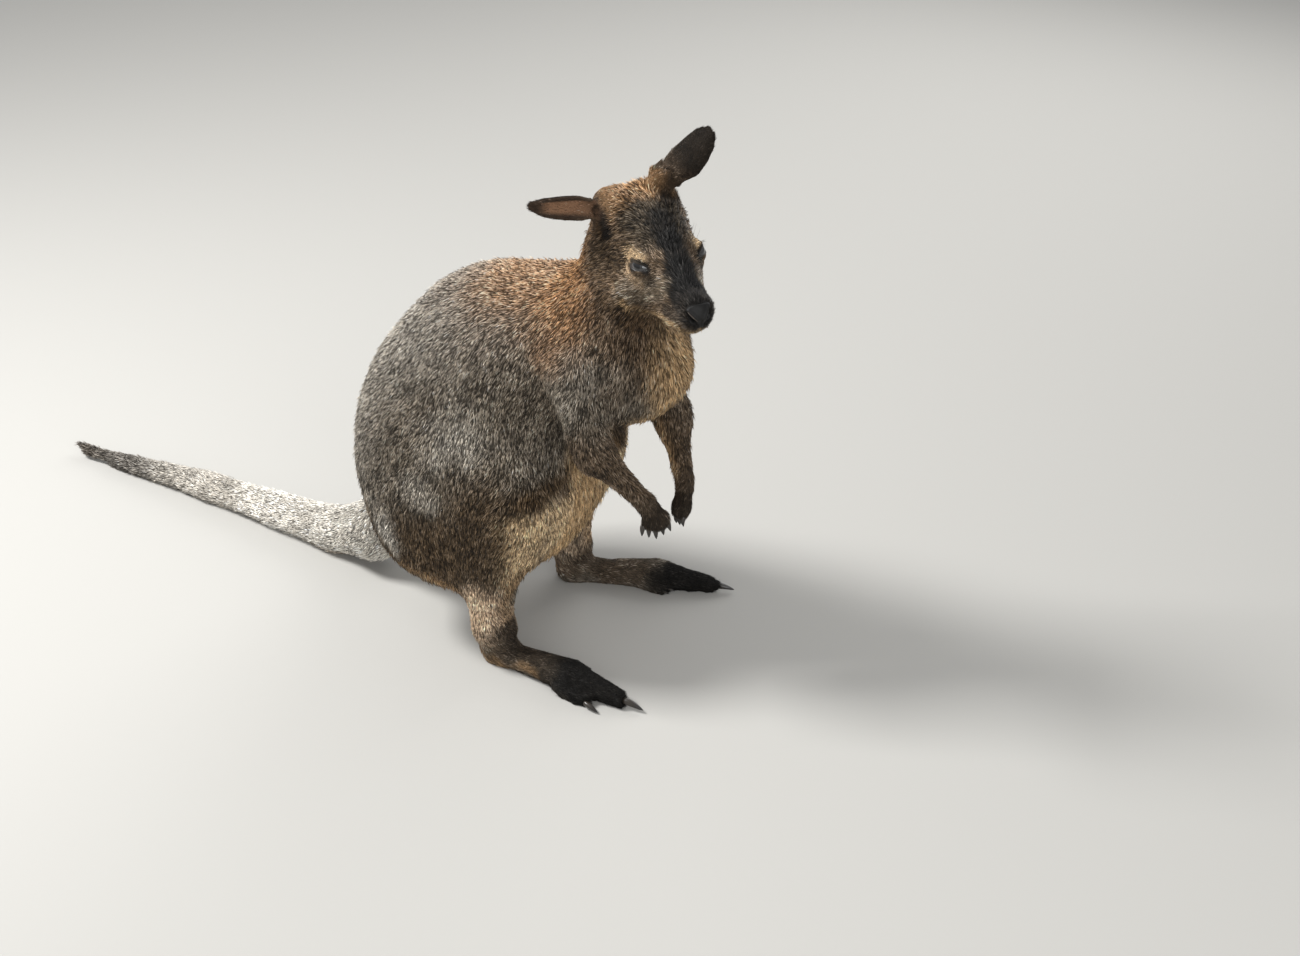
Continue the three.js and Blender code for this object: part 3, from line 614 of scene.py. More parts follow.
# in metres, but for the rounds of smoothing and the triangles
skinSizes = dict(grain=0.0017, overlap=0.001, rounds=110, triangles=128000, floor=0.0022, sole=0.0004,
                 soleTop=0.0006, fineShare=0.15)
# how far the flats of each region's solids are smoothed, 1 being the trunk's
smoothing = {"trunk": 1.0, "neck": 0.3, "head": 0.1, "ear": 0.01, "paw": 0.05, "arm": 0.7, "limb": 0.25,
             "tail": 0.6}
nape = dict(fold=[(0.29, -0.048, 0.455), (0.284, -0.018, 0.452), (0.292, 0.018, 0.455)], depth=0.0065,
            width=0.018)
faceWay = [onHead(-50, 0, 10), onHead(70, 0, -20)]


def wholeBody():
    parts = []
    for node in flesh:
        part = copyOfNode(node)
        editAll(part, bpy.ops.transform.shrink_fatten, value=skinSizes["overlap"])
        parts.append(part)
    for eye in eyes.values():
        bpy.ops.mesh.primitive_uv_sphere_add(segments=48, ring_count=24, radius=eyeRadius + 0.0008,
                                             location=eye["middle"])
        bpy.ops.object.transform_apply(location=True)
        parts.append(bpy.context.object)
    body = joined(parts)
    body.data.materials.clear()
    applyModifier(body, "REMESH", mode="VOXEL", voxel_size=skinSizes["grain"], adaptivity=0)
    bpy.ops.mesh.separate(type="LOOSE")      # the outer shell is kept
    shells = sorted(bpy.context.selected_objects, key=lambda shell: -len(shell.data.vertices))
    for shell in shells[1:]:
        bpy.data.objects.remove(shell)
    shells[0].name = "skin"
    return shells[0]


def smoothed(points, edges, strength, rounds):
    # moves every point towards the mean of its neighbours
    first, second = edges[:, 0], edges[:, 1]
    counts = np.bincount(edges.ravel(), minlength=len(points))
    share = (strength / np.maximum(counts, 1))[:, None]
    keep = (1 - strength)[:, None]
    for _ in range(rounds):
        total = np.empty_like(points)
        for axis in range(3):
            total[:, axis] = (np.bincount(first, points[second, axis], len(points))
                              + np.bincount(second, points[first, axis], len(points)))
        points = points * keep + total * share
    return points


def smoothingAt(points):
    strength = np.full(len(points), smoothing["trunk"])
    regions = [
        ("neck", [onHead(-66, 0, 24), onHead(-50, 0, -30)], 0.056),
        ("neck", [(0.31, -0.014, 0.455), (0.34, -0.014, 0.43)], 0.05),
    ]
    for side in sides:
        paw, leg = paws[side], legs[side]
        regions += [
            ("arm", [paw["shoulder"], paw["elbow"]], 0.04),
            ("limb", [paw["elbow"], paw["wrist"]], 0.036),
            ("limb", [leg["hock"], leg["ankle"]], 0.05),
            ("paw", [paw["wrist"], paw["fingers"]], 0.03),
            ("paw", [leg["heel"], leg["midfoot"], leg["toes"]], 0.038),
        ]
    regions += [("tail", tailWay[1:], 0.045), ("head", [onHead(-45, 0, 5), onHead(70, 0, -20)], 0.062)]
    regions += [("ear", [ear["root"], ear["tip"]], 0.022) for ear in ears.values()]
    for kind, path, reach in regions:
        share = 1 - ramp(fromPath(points, path), reach - 0.012, reach + 0.012)
        strength += (smoothing[kind] - strength) * share
    return strength


# where along an ear its leaf widens, its mouth narrows and its base turns outward, and how much
earShape = dict(around=(0.018, 0.024), leaf=(0.004, 0.026), mouth=(-0.004, 0.004), base=(-0.012, 0.000),
                low=(0.002, 0.03), outer=(0, 0.008), inner=(0, 0.006), widen=0.3, pullIn=0.45)


def shapeEar(points, ear):
    # the leaf is broad again, and narrower at its mouth
    beyond, aside = alongEar(points, ear)
    onLeaf = 1 - ramp(fromPath(points, ear["leaf"]), *earShape["around"])
    low = 1 - ramp(beyond, *earShape["low"])
    outward = ear["outward"] * ramp(beyond, *earShape["base"])
    widen = earShape["widen"] * ramp(beyond, *earShape["leaf"]) - ear["narrow"]
    widen *= ramp(beyond, *earShape["mouth"])
    widen += outward * ramp(aside, *earShape["outer"]) * (0.3 + 0.7 * low)
    widen -= outward * ramp(-aside, *earShape["inner"]) * low * earShape["pullIn"]
    return points + (widen * onLeaf * aside)[:, None] * ear["across"]


def makeSkin():
    skin = wholeBody()
    print("whole body:", len(skin.data.vertices), "points")
    points = pointsOf(skin.data)
    edges = readAll(skin.data.edges, "vertices", 2, np.int32)
    onFloor = points[:, 2] < skinSizes["floor"]
    strength = smoothingAt(points)
    rounded = smoothed(points, edges, strength, skinSizes["rounds"])
    points = rounded + smoothed(points - rounded, edges, strength, skinSizes["rounds"])
    movePoints(skin.data, points)
    normals = normalsOf(skin.data)
    flow, shares = layOfHair(points, normals)
    depth = sizeOf(shares, "depth") + skinSizes["overlap"]
    for eye in eyes.values():
        depth *= ramp(fromPlace(points, eye["middle"]), 0.014, 0.022)
    depth *= ramp(fromPlace(points, tailWay[-1]), 0.006, 0.05)
    depth += nape["depth"] * bell(fromPath(points, nape["fold"]), nape["width"])
    points = points - normals * depth[:, None]
    for ear in ears.values():
        points = shapeEar(points, ear)
    points[onFloor, 2] = np.minimum(points[onFloor, 2], skinSizes["soleTop"])
    points[:, 2] = np.maximum(points[:, 2], skinSizes["sole"])
    movePoints(skin.data, points)
    return skin


def protectFineParts(skin):
    points = pointsOf(skin.data)
    fine = fromPath(points, faceWay) < 0.06
    for side in sides:
        paw, leg = paws[side], legs[side]
        fine |= fromPath(points, ears[side]["leaf"]) < 0.02
        fine |= fromPath(points, [paw["wrist"], paw["fingers"]]) < 0.026
        fine |= fromPath(points, [leg["heel"], leg["toes"]]) < 0.03
    group = skin.vertex_groups.new(name="plain")
    group.add(np.nonzero(~fine)[0].tolist(), 1.0, "REPLACE")
    group.add(np.nonzero(fine)[0].tolist(), skinSizes["fineShare"], "REPLACE")
    return group


def refine(skin, middle, reach):
    # halves the faces round a place
    choose(skin)
    bpy.ops.object.mode_set(mode="EDIT")
    bpy.ops.mesh.select_all(action="DESELECT")
    bpy.ops.object.mode_set(mode="OBJECT")
    skin.data.vertices.foreach_set("select", fromPlace(pointsOf(skin.data), middle) < reach)
    bpy.ops.object.mode_set(mode="EDIT")
    bpy.ops.mesh.select_mode(type="VERT")
    bpy.ops.mesh.select_mode(type="FACE")
    bpy.ops.mesh.subdivide(number_cuts=1, smoothness=0.0)
    bpy.ops.object.mode_set(mode="OBJECT")


lid = dict(length=0.0108, upper=0.0025, lower=0.0037, thick=0.0012, edge=0.0004, crease=0.003,
           creaseDepth=0.0009, creaseWidth=0.0009, soft=0.0012, behind=0.0016, reach=0.024)


def lidGap(points, eye):
    # up and out from the eye's middle, and the distance from the edge of the opening
    local = points - eye["middle"]
    along, up, out = local @ eye["along"], local @ eye["up"], local @ eye["look"]
    span = np.clip(np.abs(along) / lid["length"], 0, 1)
    upper, lower = lid["upper"] * (1 - span ** 3.5) ** 0.8, lid["lower"] * (1 - span ** 2.2) ** 0.85
    height = np.where(up > 0, upper, lower)
    gap = np.where(np.abs(along) < lid["length"], np.abs(up) - height,
                   np.hypot(np.abs(along) - lid["length"], up))
    return up, out, gap


def shapeLids(points):
    soft = lid["soft"]
    for eye in eyes.values():
        up, out, gap = lidGap(points, eye)
        offset = points - eye["middle"]
        radius = np.linalg.norm(offset, axis=1)
        cover = eyeRadius + lid["thick"] + lid["edge"] * bell(gap - 0.0012, 0.0009)
        share = np.clip(0.5 + (radius - cover) / (2 * soft), 0, 1)
        wanted = radius * share + cover * (1 - share) + soft * share * (1 - share)
        wanted = wanted - lid["creaseDepth"] * bell(gap - lid["crease"], lid["creaseWidth"]) * (up > 0)
        wanted = wanted + (eyeRadius - lid["behind"] - wanted) * ramp(-gap, -0.0001, 0.0009)
        wanted = np.where((out > 0) & (radius < lid["reach"]), wanted, radius)
        points = eye["middle"] + offset * (wanted / np.maximum(radius, 1e-6))[:, None]
    return points


mouth = [(80, 0, -35), (71, 8, -39), (58, 15, -40.5), (44, 19, -42), (30, 23, -43)]
# lines on each side of the face, in millimetres: height, less than 0 where it cuts in, width, and places
faceLines = {
    "mouth": (-1.5, 0.9, mouth),
    "lip": (0.6, 2.2, [(forward, left, up + 3.2) for forward, left, up in mouth]),
    "nostril": (-3.8, 1.6, [(75, 13, -16), (79, 10, -20.5), (80, 7, -24.5)]),
    # the rim line only places the painted highlight along each nostril
    "rim": (0, 0.65, [(75.5, 11.2, -14.7), (79.8, 8.2, -19.2), (81, 5.2, -23.2)]),
    "slit": (-1.4, 0.9, [(80, 7, -24.5), (80, 4, -29)]),
    "wing": (1.0, 2.0, [(77, 12, -11.5), (81, 7.5, -16.5), (82, 3.5, -22)]),
}
cleft = (-1.0, 0.8, [(83, 0, -24), (81, 0, -35)])
# the nose pad's height, how wide the painted shade in each nostril reaches, and the line and width of the
# painted highlight down the cleft
noseSkin = dict(height=0.5, darkWidth=1.9, cleftHighlight=[(81, 1.2, -26), (80, 1.2, -33)], highlightWidth=1.0)


def shapeFace(points, normals):
    # nose pad, nostrils and the line of the mouth; also says how deep in a nostril and how near its rim
    # the depth in a nostril places painted shade; nearness to a rim and to the cleft places a painted
    # highlight
    local = inHead(points)
    close = (local[:, 0] > 5) & (np.abs(local[:, 1]) < 40) & (local[:, 2] < 10) & (local[:, 2] > -70)
    shift = noseSkin["height"] * (1 - ramp(noseGap(local), -1.2, 0.4)) * close
    groove = np.zeros(len(points))
    # the cleft takes a painted highlight
    edge = bell(fromPath(local, noseSkin["cleftHighlight"]), noseSkin["highlightWidth"])

    def along(path):
        # distance from a line that runs over the surface close to these places
        path = np.array(path, float)
        dense = np.concatenate([np.linspace(a, b, 5) for a, b in zip(path[:-1], path[1:])])
        return fromPath(local, [local[fromPlace(local, place).argmin()] for place in dense])

    for side in (1, -1):
        for line, (height, width, path) in faceLines.items():
            gap = along([(forward, side * left, up) for forward, left, up in path])
            shift += height * bell(gap, width)
            if line == "nostril":
                groove = np.maximum(groove, bell(gap, noseSkin["darkWidth"]))
            if line == "rim":
                edge = np.maximum(edge, bell(gap, width))
    height, width, path = cleft
    shift += height * bell(along(path), width)
    return points + normals * shift[:, None] / 1000, groove, edge


# where the skin is made finer: middle and reach
finer = [(eye["middle"] + 0.008 * eye["look"], reach) for eye in eyes.values() for reach in (0.0165, 0.0145)]
finer += [(onHead(60, 0, -26), 0.024), (onHead(76, 0, -22), 0.014)]


def finishSkin(skin):
    group = protectFineParts(skin)
    before = len(skin.data.polygons) * 2
    applyModifier(skin, "DECIMATE", decimate_type="COLLAPSE", ratio=skinSizes["triangles"] / before,
                  vertex_group=group.name, vertex_group_factor=1.0, use_collapse_triangulate=True)
    for middle, reach in finer:
        refine(skin, middle, reach)
    points = shapeLids(pointsOf(skin.data))
    movePoints(skin.data, points)
    points, groove, edge = shapeFace(points, normalsOf(skin.data))
    movePoints(skin.data, points)
    skin.vertex_groups.clear()
    choose(skin)
    bpy.ops.object.shade_smooth()
    print("skin:", len(skin.data.polygons), "faces")
    return groove, edge


skin = makeSkin()
# how deep in the nostrils, for painted shade, and how near their rims and the cleft, for a painted highlight
nostrilDepth, nostrilHighlight = finishSkin(skin)
skinPoints = pointsOf(skin.data)
skinNormals = normalsOf(skin.data)
skinFlow, skinShares = layOfHair(skinPoints, skinNormals)
skinTones = paint(skinPoints, skinNormals)

# share of bareness on the nose, gap and reach round the lids, hairs further apart in the ears, how much
# painted shade darkens the skin between the tufts and in the nostrils, and the nostril rims' painted
# highlight
bareParts = dict(nose=0.62, lids=(0.001, 0.0022), lidReach=0.017, inEar=0.02, earApart=1.9, between=0.5,
                 nostrilShade=0.9, rimHighlight=0.8)


def bareness(points):
    # 1 on the lids, less on the bare nose
    bare = bareParts["nose"] * (1 - ramp(noseGap(inHead(points)), -0.6, 0.6))
    for eye in eyes.values():
        up, out, gap = lidGap(points, eye)
        near = (fromPlace(points, eye["middle"]) < bareParts["lidReach"]) & (out > 0)
        bare = np.maximum(bare, (1 - ramp(gap, *bareParts["lids"])) * near)
    return bare


skinBare = bareness(skinPoints)
skinApart = sizeOf(skinShares, "apart")
for ear in ears.values():
    inEar = (fromPath(skinPoints, ear["leaf"]) < bareParts["inEar"]) & (skinNormals @ ear["open"] > 0.3)
    skinApart[inEar] *= bareParts["earApart"]
# the skin between the tufts is darkened as painted shade, and more so deep in the nostrils
shade = np.where(skinBare > 0.5, 1.0, bareParts["between"]) * (1 - bareParts["nostrilShade"] * nostrilDepth)
skinTones *= shade[:, None]
# a painted highlight on the nostril rims and the cleft
onRimHighlight = bareParts["rimHighlight"] * nostrilHighlight * (skinBare > 0.3)
skinTones += (colours["nostrilHighlight"] - skinTones) * onRimHighlight[:, None]
addColours(skin.data, "coatColour", skinTones)
bareLayer = skin.data.attributes.new(name="bare", type="FLOAT", domain="POINT")
bareLayer.data.foreach_set("value", skinBare.astype(np.float32))
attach(skin, "root")
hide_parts(*flesh)


# ---- the tufts

# three points across, up and along at its thickest, then the tip; the first point is the root
strandShapes = {
    "tuft": dict(points=[(0, 0, 0), (-0.5, 0, 0.36), (0.5, 0, 0.36), (0, 0.45, 0.36), (0, 0, 1)],
                 faces=[(0, 3, 1), (0, 2, 3), (0, 1, 2), (4, 1, 3), (4, 3, 2), (4, 2, 1)]),
    "short": dict(points=[(-0.5, 0, 0), (0.5, 0, 0), (0, 0.4, 0), (0, 0, 1)],
                  faces=[(0, 1, 2), (1, 0, 3), (2, 1, 3), (0, 2, 3)]),
}
patch = 0.003      # of each tuft on the unwrap

# shares of the usual size, from and to
tuftSpread = dict(length=(0.65, 1.2), width=(0.7, 1.25), depth=(0.55, 1.05), lockDepth=(0.75, 1.1),
                  pull=(0.3, 1.2))
# turns are how far patches of the coat turn, their size and their seed
tufts = dict(inLock=7, standingShare=0.08, standing=1.7, byEye=0.28, eyeReach=(0.014, 0.024), floor=0.0003,
             turns=[(0.14, 0.035, 11), (0.12, 0.009, 12)], turnVaries=0.17, mostLean=0.6)
# how far along the coat's depth the root, the thickest place and the tip are
rises = dict(root=-0.1, thickest=0.62, tip=0.95)
# shares of the coat's colour, and how much it varies
shades = dict(root=0.45, middle=0.9, tip=1.1, paleMiddle=0.85, paleTip=0.35, white=0.6, darkMiddle=0.25,
              darkTip=0.14, tuftVaries=0.28, lockVaries=0.15, patches=0.012, patchVaries=0.08)


def meshFrom(name, points, faces):
    # a triangle mesh from arrays
    mesh = bpy.data.meshes.new(name)
    mesh.vertices.add(len(points))
    mesh.vertices.foreach_set("co", points.astype(np.float32).ravel())
    mesh.loops.add(faces.size)
    mesh.loops.foreach_set("vertex_index", faces.astype(np.int32).ravel())
    mesh.polygons.add(len(faces))
    mesh.polygons.foreach_set("loop_start", np.arange(0, faces.size, 3, dtype=np.int32))
    mesh.update(calc_edges=True)
    mesh.validate()
    mesh.polygons.foreach_set("use_smooth", np.ones(len(faces), bool))
    piece = bpy.data.objects.new(name, mesh)
    bpy.context.scene.collection.objects.link(piece)
    return piece


def addUnwrap(piece, corners):
    layer = piece.data.uv_layers.new(name="OFBake")
    layer.data.foreach_set("uv", np.clip(corners, 0, 1).astype(np.float32).ravel())


def rootsOn(faces, spacing):
    # random places on these skin triangles, one for every spacing squared
    corners = skinPoints[faces]
    areas = np.linalg.norm(np.cross(corners[:, 1] - corners[:, 0], corners[:, 2] - corners[:, 0]), axis=1) / 2
    wanted = areas / spacing ** 2
    counts = np.floor(wanted + chance.random(len(wanted))).astype(int)
    chosen = np.repeat(np.arange(len(faces)), counts)
    first, second = chance.random(len(chosen)), chance.random(len(chosen))
    flip = first + second > 1
    first[flip], second[flip] = 1 - first[flip], 1 - second[flip]
    return chosen, np.stack([1 - first - second, first, second], axis=1)


def leadersOf(roots, spacing):
    # the tuft that each one falls in with: one in every spacing leads
    count = max(1, len(roots) // spacing)
    heads = chance.choice(len(roots), count, replace=False)
    tree = KDTree(count)
    for index, head in enumerate(heads):
        tree.insert(roots[head], index)
    tree.balance()
    return heads[np.array([tree.find(root)[1] for root in roots])]


def tuftTones(tones, roots, shares, lead):
    # colours at the root, the middle and the tip of each tuft
    count = len(roots)
    drift = clouds(roots, shades["patches"], 13)
    lift = np.clip(chance.normal(1.0, shades["tuftVaries"], count), 0.35, 1.9)
    lift *= 1 + shades["patchVaries"] * drift
    lift *= np.clip(chance.normal(1.0, shades["lockVaries"], count), 0.6, 1.5)[lead]
    draw = chance.random(count) - 0.1 * drift
    pale = (draw < sizeOf(shares, "frost"))[:, None]
    dark = (draw > 1 - sizeOf(shares, "ticks"))[:, None]
    light = np.clip(tones.mean(axis=1) / 0.16, 0.08, 1)[:, None]        # dark fur has few pale tips
    hue = tones / tones.mean(axis=1, keepdims=True)
    paleTone = shaded(tones, tones * shades["paleTip"] + shades["white"] * (0.35 + 0.65 * hue), light)
    tip = np.where(pale, paleTone, tones * np.where(dark, shades["darkTip"], shades["tip"]))
    middle = np.where(dark, shades["darkMiddle"], shades["middle"])
    middle = tones * np.where(pale, shades["paleMiddle"], middle)
    return np.stack([tones * shades["root"], middle, tip], axis=1) * lift[:, None, None]


def growTufts(name, faces, cornerUvs, form):
    furry = skinBare[faces].max(axis=1) < 0.5
    faces, cornerUvs = faces[furry], cornerUvs[furry]
    chosen, weights = rootsOn(faces, skinApart[faces].mean(axis=1))

    def blend(values):
        return (values * weights[:, :, None]).sum(axis=1)

    def spread(size):
        return chance.uniform(*tuftSpread[size], len(chosen))

    def along(ways, lengths):
        return ways[:, None, :] * lengths[:, :, None]

    corners = faces[chosen]
    roots, shares, uvs = blend(skinPoints[corners]), blend(skinShares[corners]), blend(cornerUvs[chosen])
    normals, flow = unit(blend(skinNormals[corners])), unit(blend(skinFlow[corners]))
    count = len(roots)
    lead = leadersOf(roots, tufts["inLock"])
    length = sizeOf(shares, "length") * spread("length")
    width = sizeOf(shares, "width") * spread("width")
    depth = sizeOf(shares, "depth") * spread("depth") * spread("lockDepth")[lead]
    depth *= np.where(chance.random(count) < tufts["standingShare"], tufts["standing"], 1.0)
    pull = sizeOf(shares, "pull") * spread("pull")
    for eye in eyes.values():
        short = shaded(tufts["byEye"], 1, ramp(fromPlace(roots, eye["middle"]), *tufts["eyeReach"]))
        length *= short
        depth *= short
    turn = sum(amount * clouds(roots, size, seed) for amount, size, seed in tufts["turns"])
    turn += chance.normal(0, tufts["turnVaries"], count)
    across = np.cross(flow, normals)
    flow = unit(flow * np.cos(turn)[:, None] + across * np.sin(turn)[:, None])
    across = np.cross(flow, normals)
    lean = roots[lead] + flow[lead] * length[lead, None] - roots - flow * length[:, None]
    lean -= normals * (lean * normals).sum(axis=1, keepdims=True)
    most = tufts["mostLean"] * length / np.maximum(np.linalg.norm(lean, axis=1), 1e-6)
    lean *= np.minimum(1, most)[:, None]
    ends = np.array(strandShapes[form]["points"], float)
    step = ends[:, 2]
    rise = np.where(step == 0, rises["root"], np.where(step == 1, rises["tip"], rises["thickest"]))
    points = (roots[:, None, :] + along(across, ends[:, 0] * width[:, None])
              + along(normals, ends[:, 1] * width[:, None] + rise * depth[:, None])
              + along(flow, step * length[:, None]) + along(lean, step ** 1.5 * pull[:, None]))
    points[:, :, 2] = np.maximum(points[:, :, 2], tufts["floor"])
    oneTuft = np.array(strandShapes[form]["faces"])
    allFaces = (oneTuft[None, :, :] + (np.arange(count) * len(ends))[:, None, None]).reshape(-1, 3)
    piece = meshFrom(name, points.reshape(-1, 3), allFaces)

    station = np.where(step == 0, 0, np.where(step == 1, 2, 1))
    stations = tuftTones(paint(roots, normals), roots, shares, lead)
    addColours(piece.data, "coatColour", stations[:, station].reshape(-1, 3))
    onPatch = np.stack([ends[:, 0], step - 0.5], axis=1) * patch
    addUnwrap(piece, (uvs[:, None, :] + onPatch[None, :, :]).reshape(-1, 2)[allFaces.ravel()])
    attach(piece, "root")
    print(name, count, "tufts,", len(allFaces), "triangles")
    return piece


coats = {
    "coat_face": dict(kinds=("face",), form="short", slot="face_coat"),
    "coat_crown": dict(kinds=("crown", "cheek"), form="tuft", slot="face_coat"),
    "coat_neck": dict(kinds=("neck",), form="tuft", slot="rufous_coat"),
    "coat_chest": dict(kinds=("chest",), form="tuft", slot="pale_coat"),
    "coat_belly": dict(kinds=("belly",), form="tuft", slot="pale_coat"),
    "coat_arms": dict(kinds=("arm", "shank"), form="tuft", slot="brown_coat"),
    "coat_paws": dict(kinds=("hand", "foot"), form="short", slot="dark_coat"),
    "coat_ears": dict(kinds=("ear",), form="short", slot="dark_coat"),
    "coat_tail": dict(kinds=("tail",), form="tuft", slot="grey_coat"),
}
for side, sign in sides.items():
    for kind, slot in (("back", "grey_coat"), ("flank", "brown_coat"), ("thigh", "brown_coat")):
        coats[f"coat_{kind}_{side}"] = dict(kinds=(kind,), form="tuft", slot=slot, side=sign)


def unwrapPart(polygons):
    # lays these faces of the skin flat over the whole of its unwrap
    choose(skin)
    bpy.ops.object.mode_set(mode="EDIT")
    bpy.ops.mesh.select_mode(type="FACE")
    bpy.ops.mesh.select_all(action="DESELECT")
    bpy.ops.object.mode_set(mode="OBJECT")
    skin.data.polygons.foreach_set("select", polygons)
    bpy.ops.object.mode_set(mode="EDIT")
    bpy.ops.uv.smart_project(angle_limit=math.radians(75), island_margin=0.003)
    bpy.ops.object.mode_set(mode="OBJECT")
    return readAll(skin.data.uv_layers["OFBake"].data, "uv", 2, np.float32)


skin.data.calc_loop_triangles()
triangles = readAll(skin.data.loop_triangles, "vertices", 3, np.int32)
triangleLoops = readAll(skin.data.loop_triangles, "loops", 3, np.int32)
triangleOwners = readAll(skin.data.loop_triangles, "polygon_index", 1, np.int32)
skin.data.uv_layers.new(name="OFBake")
mainKind = skinShares[triangles].mean(axis=1).argmax(axis=1)
onLeft = skinPoints[triangles].mean(axis=1)[:, 1] > midPlane
coatPieces = []
for name, coat in coats.items():
    wanted = np.isin(mainKind, [kinds.index(kind) for kind in coat["kinds"]])
    if "side" in coat:
        wanted &= onLeft == (coat["side"] > 0)
    polygons = np.zeros(len(skin.data.polygons), bool)
    polygons[triangleOwners[wanted]] = True
    corners = unwrapPart(polygons)[triangleLoops[wanted]]
    coatPieces.append(growTufts(name, triangles[wanted], corners, coat["form"]))
skinUnwrap = unwrapPart(np.ones(len(skin.data.polygons), bool))


# ---- whiskers and lashes

strandSizes = dict(radius=0.00016, rings=6, thinning=0.8, sunk=0.0004)
darkHair, paleHair = (0.02, 0.016, 0.012), (0.45, 0.38, 0.28)
lashes = dict(count=13, length=0.0058, span=(-0.85, 0.8), out=0.0115, up=0.0048)
# groups of whiskers on each side: the first root, the step to the next and to the next row, in millimetres on
# the head; the way it starts, how that turns from one to the next and row to row, and the way it bends
oneRow = dict(rows=1, row=0, turn=0, rowTurn=0, longer=0, tone=darkHair)
whiskers = [
    dict(rows=3, count=4, root=(66, 15, -23), next=(-5, 1.3, 0), row=(1, 0, -4), way=(-0.45, 0.75, -0.25),
         turn=(-0.15, 0, 0), rowTurn=(0, 0, -0.14), bend=(-0.35, -0.2, -0.25), length=0.01, longer=0.004,
         tone=darkHair),
    dict(oneRow, count=5, root=(8, 38, -12), next=(-6, 2, -4.5), way=(-0.9, 0.35, 0.12), turn=(0, 0, -0.1),
         bend=(-0.2, -0.2, -0.15), length=0.022, tone=paleHair),
    dict(oneRow, count=3, root=(-3, 30, 17), next=(5, 0, 0), way=(-0.25, 0.55, 0.75),
         bend=(-0.45, 0.1, -0.15), length=0.014),
    dict(oneRow, count=3, root=(66, 8, -52), next=(-8, 0, 0), way=(-0.1, 0.3, -1.0), bend=(-0.4, 0, 0.1),
         length=0.01),
]


def strandsOnHead():
    # root, way, bend, length and colour of each one
    strands = []
    for side in (1, -1):
        mirror = np.array([1, side, 1])
        for group in whiskers:
            group = {key: np.array(value) for key, value in group.items()}
            for row, place in np.ndindex(int(group["rows"]), int(group["count"])):
                root = onHead(*(group["root"] + place * group["next"] + row * group["row"]), side)
                way = (group["way"] + place * group["turn"] + row * group["rowTurn"]) * mirror @ headAxes
                bend = group["bend"] * mirror @ headAxes
                strands.append((root, way, bend, group["length"] + group["longer"] * place, group["tone"]))
    for eye in eyes.values():
        for place in np.linspace(*lashes["span"], lashes["count"]):
            root = (eye["middle"] + lashes["out"] * eye["look"] + lashes["up"] * eye["up"]
                    + lid["length"] * place * eye["along"])
            way = eye["look"] * 0.9 + eye["up"] * 0.3 + eye["along"] * place * 0.35
            strands.append((root, way, eye["up"] * -0.35, lashes["length"], darkHair))
    return strands


def growStrands(name, strands):
    rings = strandSizes["rings"]
    share = np.linspace(0, 1, rings + 1)
    uvOfPoint = np.zeros((len(skinPoints), 2))
    uvOfPoint[readAll(skin.data.loops, "vertex_index", 1, np.int32)] = skinUnwrap
    points, faces, tones, uvs = [], [], [], []
    for root, way, bend, length, tone in strands:
        nearest = fromPlace(skinPoints, root).argmin()
        length = length * chance.uniform(0.75, 1.15)
        way = unit(way + chance.normal(0, 0.08, 3))
        spine = skinPoints[nearest] - strandSizes["sunk"] * skinNormals[nearest]
        spine = spine + length * (np.outer(share, way) + np.outer(share ** 2, bend))
        first = unit(np.cross(way, (0.3, 0.2, 0.9)))
        second = np.cross(way, first)
        start = len(points)
        for ring in range(rings):
            radius = strandSizes["radius"] * (1 - strandSizes["thinning"] * share[ring])
            for turn in (0, 2 * math.pi / 3, 4 * math.pi / 3):
                points.append(spine[ring] + radius * (math.cos(turn) * first + math.sin(turn) * second))
        points.append(spine[-1])
        faces.append((start, start + 2, start + 1))
        last = start + 3 * rings - 3
        for corner in range(3):
            beside = (corner + 1) % 3
            for low in range(start, last, 3):
                faces += [(low + corner, low + beside, low + 3 + beside),
                          (low + corner, low + 3 + beside, low + 3 + corner)]
            faces.append((last + corner, last + beside, last + 3))
        count = 3 * rings + 1
        tones += [tone] * count
        onPatch = [np.tile([-0.3, 0.3, 0], rings + 1)[:count], np.linspace(-0.5, 0.5, count)]
        uvs.append(uvOfPoint[nearest] + np.transpose(onPatch) * patch)
    faces = np.array(faces)
    piece = meshFrom(name, np.array(points), faces)
    addColours(piece.data, "coatColour", np.array(tones))
    addUnwrap(piece, np.concatenate(uvs)[faces.ravel()])
    editAll(piece, bpy.ops.mesh.normals_make_consistent, inside=False)
    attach(piece, "root")
    return piece


coatPieces.append(growStrands("whiskers", strandsOnHead()))


# ---- finishes

def coatFinish():
    finish = Finish("coat", Roughness=0.55, Specular_IOR_Level=0.2)
    finish.feed("Base Color", finish.attribute("coatColour"))
    return finish.material


def skinFinish():
    finish = Finish("skin", Specular_IOR_Level=0.22)
    place = finish.place()
    bare = finish.attribute("bare", 2)
    fine = finish.node("ShaderNodeTexNoise", Vector=place, Scale=900.0, Detail=3.0)
    finish.feed("Base Color", finish.attribute("coatColour") * (0.6 + 0.8 * fine))
    finish.feed("Roughness", 0.85 - 0.5 * bare)
    pebbles = finish.node("ShaderNodeTexVoronoi", {"feature": "SMOOTH_F1"}, Vector=place, Scale=1100.0)
    height = fine * (1 - bare) + pebbles * bare
    finish.feed("Normal", finish.node("ShaderNodeBump", Height=height, Strength=0.35, Distance=0.0006))
    return finish.material


coatMaterial = coatFinish()
skin.data.materials.append(skinFinish())
for piece in coatPieces:
    piece.data.materials.append(coatMaterial)
print("coat done")


# ---- eyes

